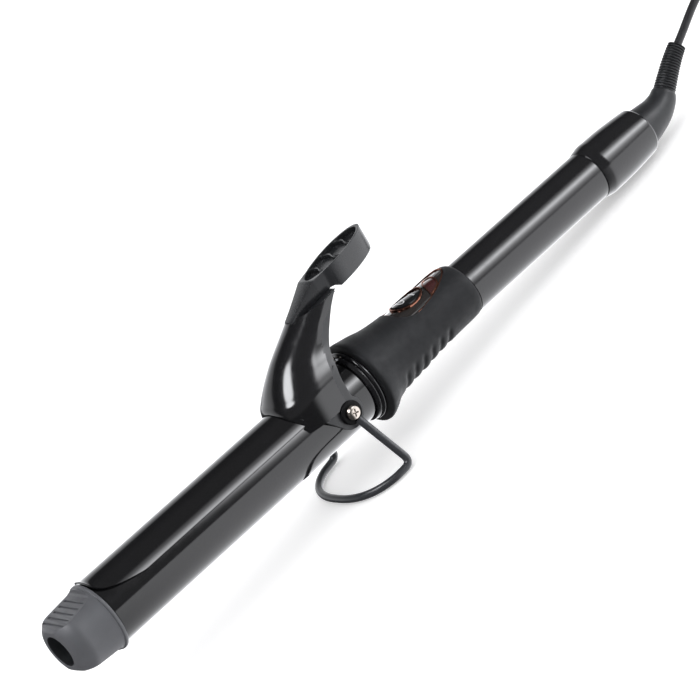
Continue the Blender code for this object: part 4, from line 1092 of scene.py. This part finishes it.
# The strength of what polished surfaces see in each direction: room and lamps above, table below.
def mirrorSky(tree):
    s = studioSettings
    direction = addNode(tree, "ShaderNodeTexCoord").outputs["Generated"]
    axes = addNode(tree, "ShaderNodeSeparateXYZ", links={"Vector": direction}).outputs
    front = addNode(tree, "ShaderNodeMath", {"operation": "MULTIPLY", 1: -1.0}, {0: axes["Y"]})
    angle = addNode(tree, "ShaderNodeMath", {"operation": "ARCTAN2"}, {0: front.outputs[0], 1: axes["Z"]})
    place = addNode(tree, "ShaderNodeMapRange", {"From Min": -math.pi / 2, "From Max": math.pi / 2},
                    {"Value": angle.outputs[0]})
    levels = []
    for table in (s["room"], s["strip"]):
        curve = addNode(tree, "ShaderNodeFloatCurve", links={"Value": place.outputs["Result"]})
        top = float(max(level for _, level in table))
        points = curve.mapping.curves[0].points
        while len(points) < len(table):
            points.new(0.5, 0.5)
        for point, (degrees, level) in zip(points, table):
            point.location = ((degrees + 90) / 180, level / top)
            point.handle_type = "VECTOR"
        curve.mapping.update()
        scaled = addNode(tree, "ShaderNodeMath", {"operation": "MULTIPLY", 1: top}, {0: curve.outputs[0]})
        levels.append(scaled.outputs[0])
    room, strip = levels
    dot = {"operation": "DOT_PRODUCT", 1: s["square"]}
    facing = addNode(tree, "ShaderNodeVectorMath", dot, {0: direction}).outputs["Value"]
    ramps = []
    for value, (low, high), (least, most) in ((axes["X"], s["stripSide"], (0.0, 1.0)),
                                              (facing, s["squareEdge"], (0.0, s["squareLevel"])),
                                              (axes["X"], s["tableSide"], s["tableLevel"])):
        ends = {"From Min": low, "From Max": high, "To Min": least, "To Max": most}
        ramp = addNode(tree, "ShaderNodeMapRange", {"interpolation_type": "SMOOTHSTEP", **ends},
                       {"Value": value})
        ramps.append(ramp.outputs["Result"])
    side, square, table = ramps
    lamp = addNode(tree, "ShaderNodeMath", {"operation": "MULTIPLY_ADD"}, {0: strip, 1: side, 2: square})
    above = addNode(tree, "ShaderNodeMath", {"operation": "ADD"}, {0: room, 1: lamp.outputs[0]})
    below = addNode(tree, "ShaderNodeMath", {"operation": "LESS_THAN", 1: 0.0}, {0: axes["Z"]})
    level = addNode(tree, "ShaderNodeMix", {"data_type": "FLOAT"},
                    {0: below.outputs[0], 2: above.outputs[0], 3: table})
    return level.outputs[0]


def makeFloor():
    s = studioSettings
    half = s["floorHalf"]
    corners = [[(x, y, -s["floorDrop"]) for x in (-half, half)] for y in (-half, half)]
    floor = meshOf(gridMesh(corners), "studio_floor")
    obj = bpy.data.objects.new("studio_floor", floor)
    scene.collection.objects.link(obj)
    # matt white paper, lit from everywhere
    floor.materials.append(makeMaterial("studioPaper", {
        "shade": s["floor"], "other": "#f2f2f3", "rough": (0.75, 0.9), "drift": 400.0, "grain": (0.6, 0.01),
        "shader": {"Specular IOR Level": 0.1, "Emission Color": linear("#ffffff"),
                   "Emission Strength": s["floorGlow"]}}))
    obj.visible_glossy = False  # polish sees mirrorSky's table instead


def makeTopLight():
    data = bpy.data.lights.new("top_light", "AREA")
    data.shape = "RECTANGLE"
    data.size, data.size_y = 1.2, 0.9
    data.energy = studioSettings["topPower"]
    lamp = bpy.data.objects.new("top_light", data)
    scene.collection.objects.link(lamp)
    lamp.location = (-0.3, -0.5, 1.7)
    aim = Vector((-0.05, 0, 0.04)) - lamp.location
    lamp.rotation_euler = aim.to_track_quat("-Z", "Y").to_euler()
    lamp.visible_glossy = False


# Matt surfaces are lit by an even white room, and polished ones mirror a darker one with lamps.
def makeStudio():
    s = studioSettings
    makeFloor()
    makeTopLight()
    world = bpy.data.worlds.new("studio")
    world.use_nodes = True
    tree = world.node_tree
    tree.nodes.clear()
    soft = addNode(tree, "ShaderNodeBackground", {"Color": linear("#ffffff"), "Strength": s["ambient"]})
    mirror = addNode(tree, "ShaderNodeBackground", {"Color": linear("#fbfcff")},
                     {"Strength": mirrorSky(tree)})
    rays = addNode(tree, "ShaderNodeLightPath")
    mixed = addNode(tree, "ShaderNodeMixShader",
                    links={0: rays.outputs["Is Glossy Ray"], 1: soft.outputs[0], 2: mirror.outputs[0]})
    addNode(tree, "ShaderNodeOutputWorld", links={"Surface": mixed.outputs[0]})
    scene.world = world
    scene.view_settings.view_transform = "Standard"


makeStudio()
say("studio")
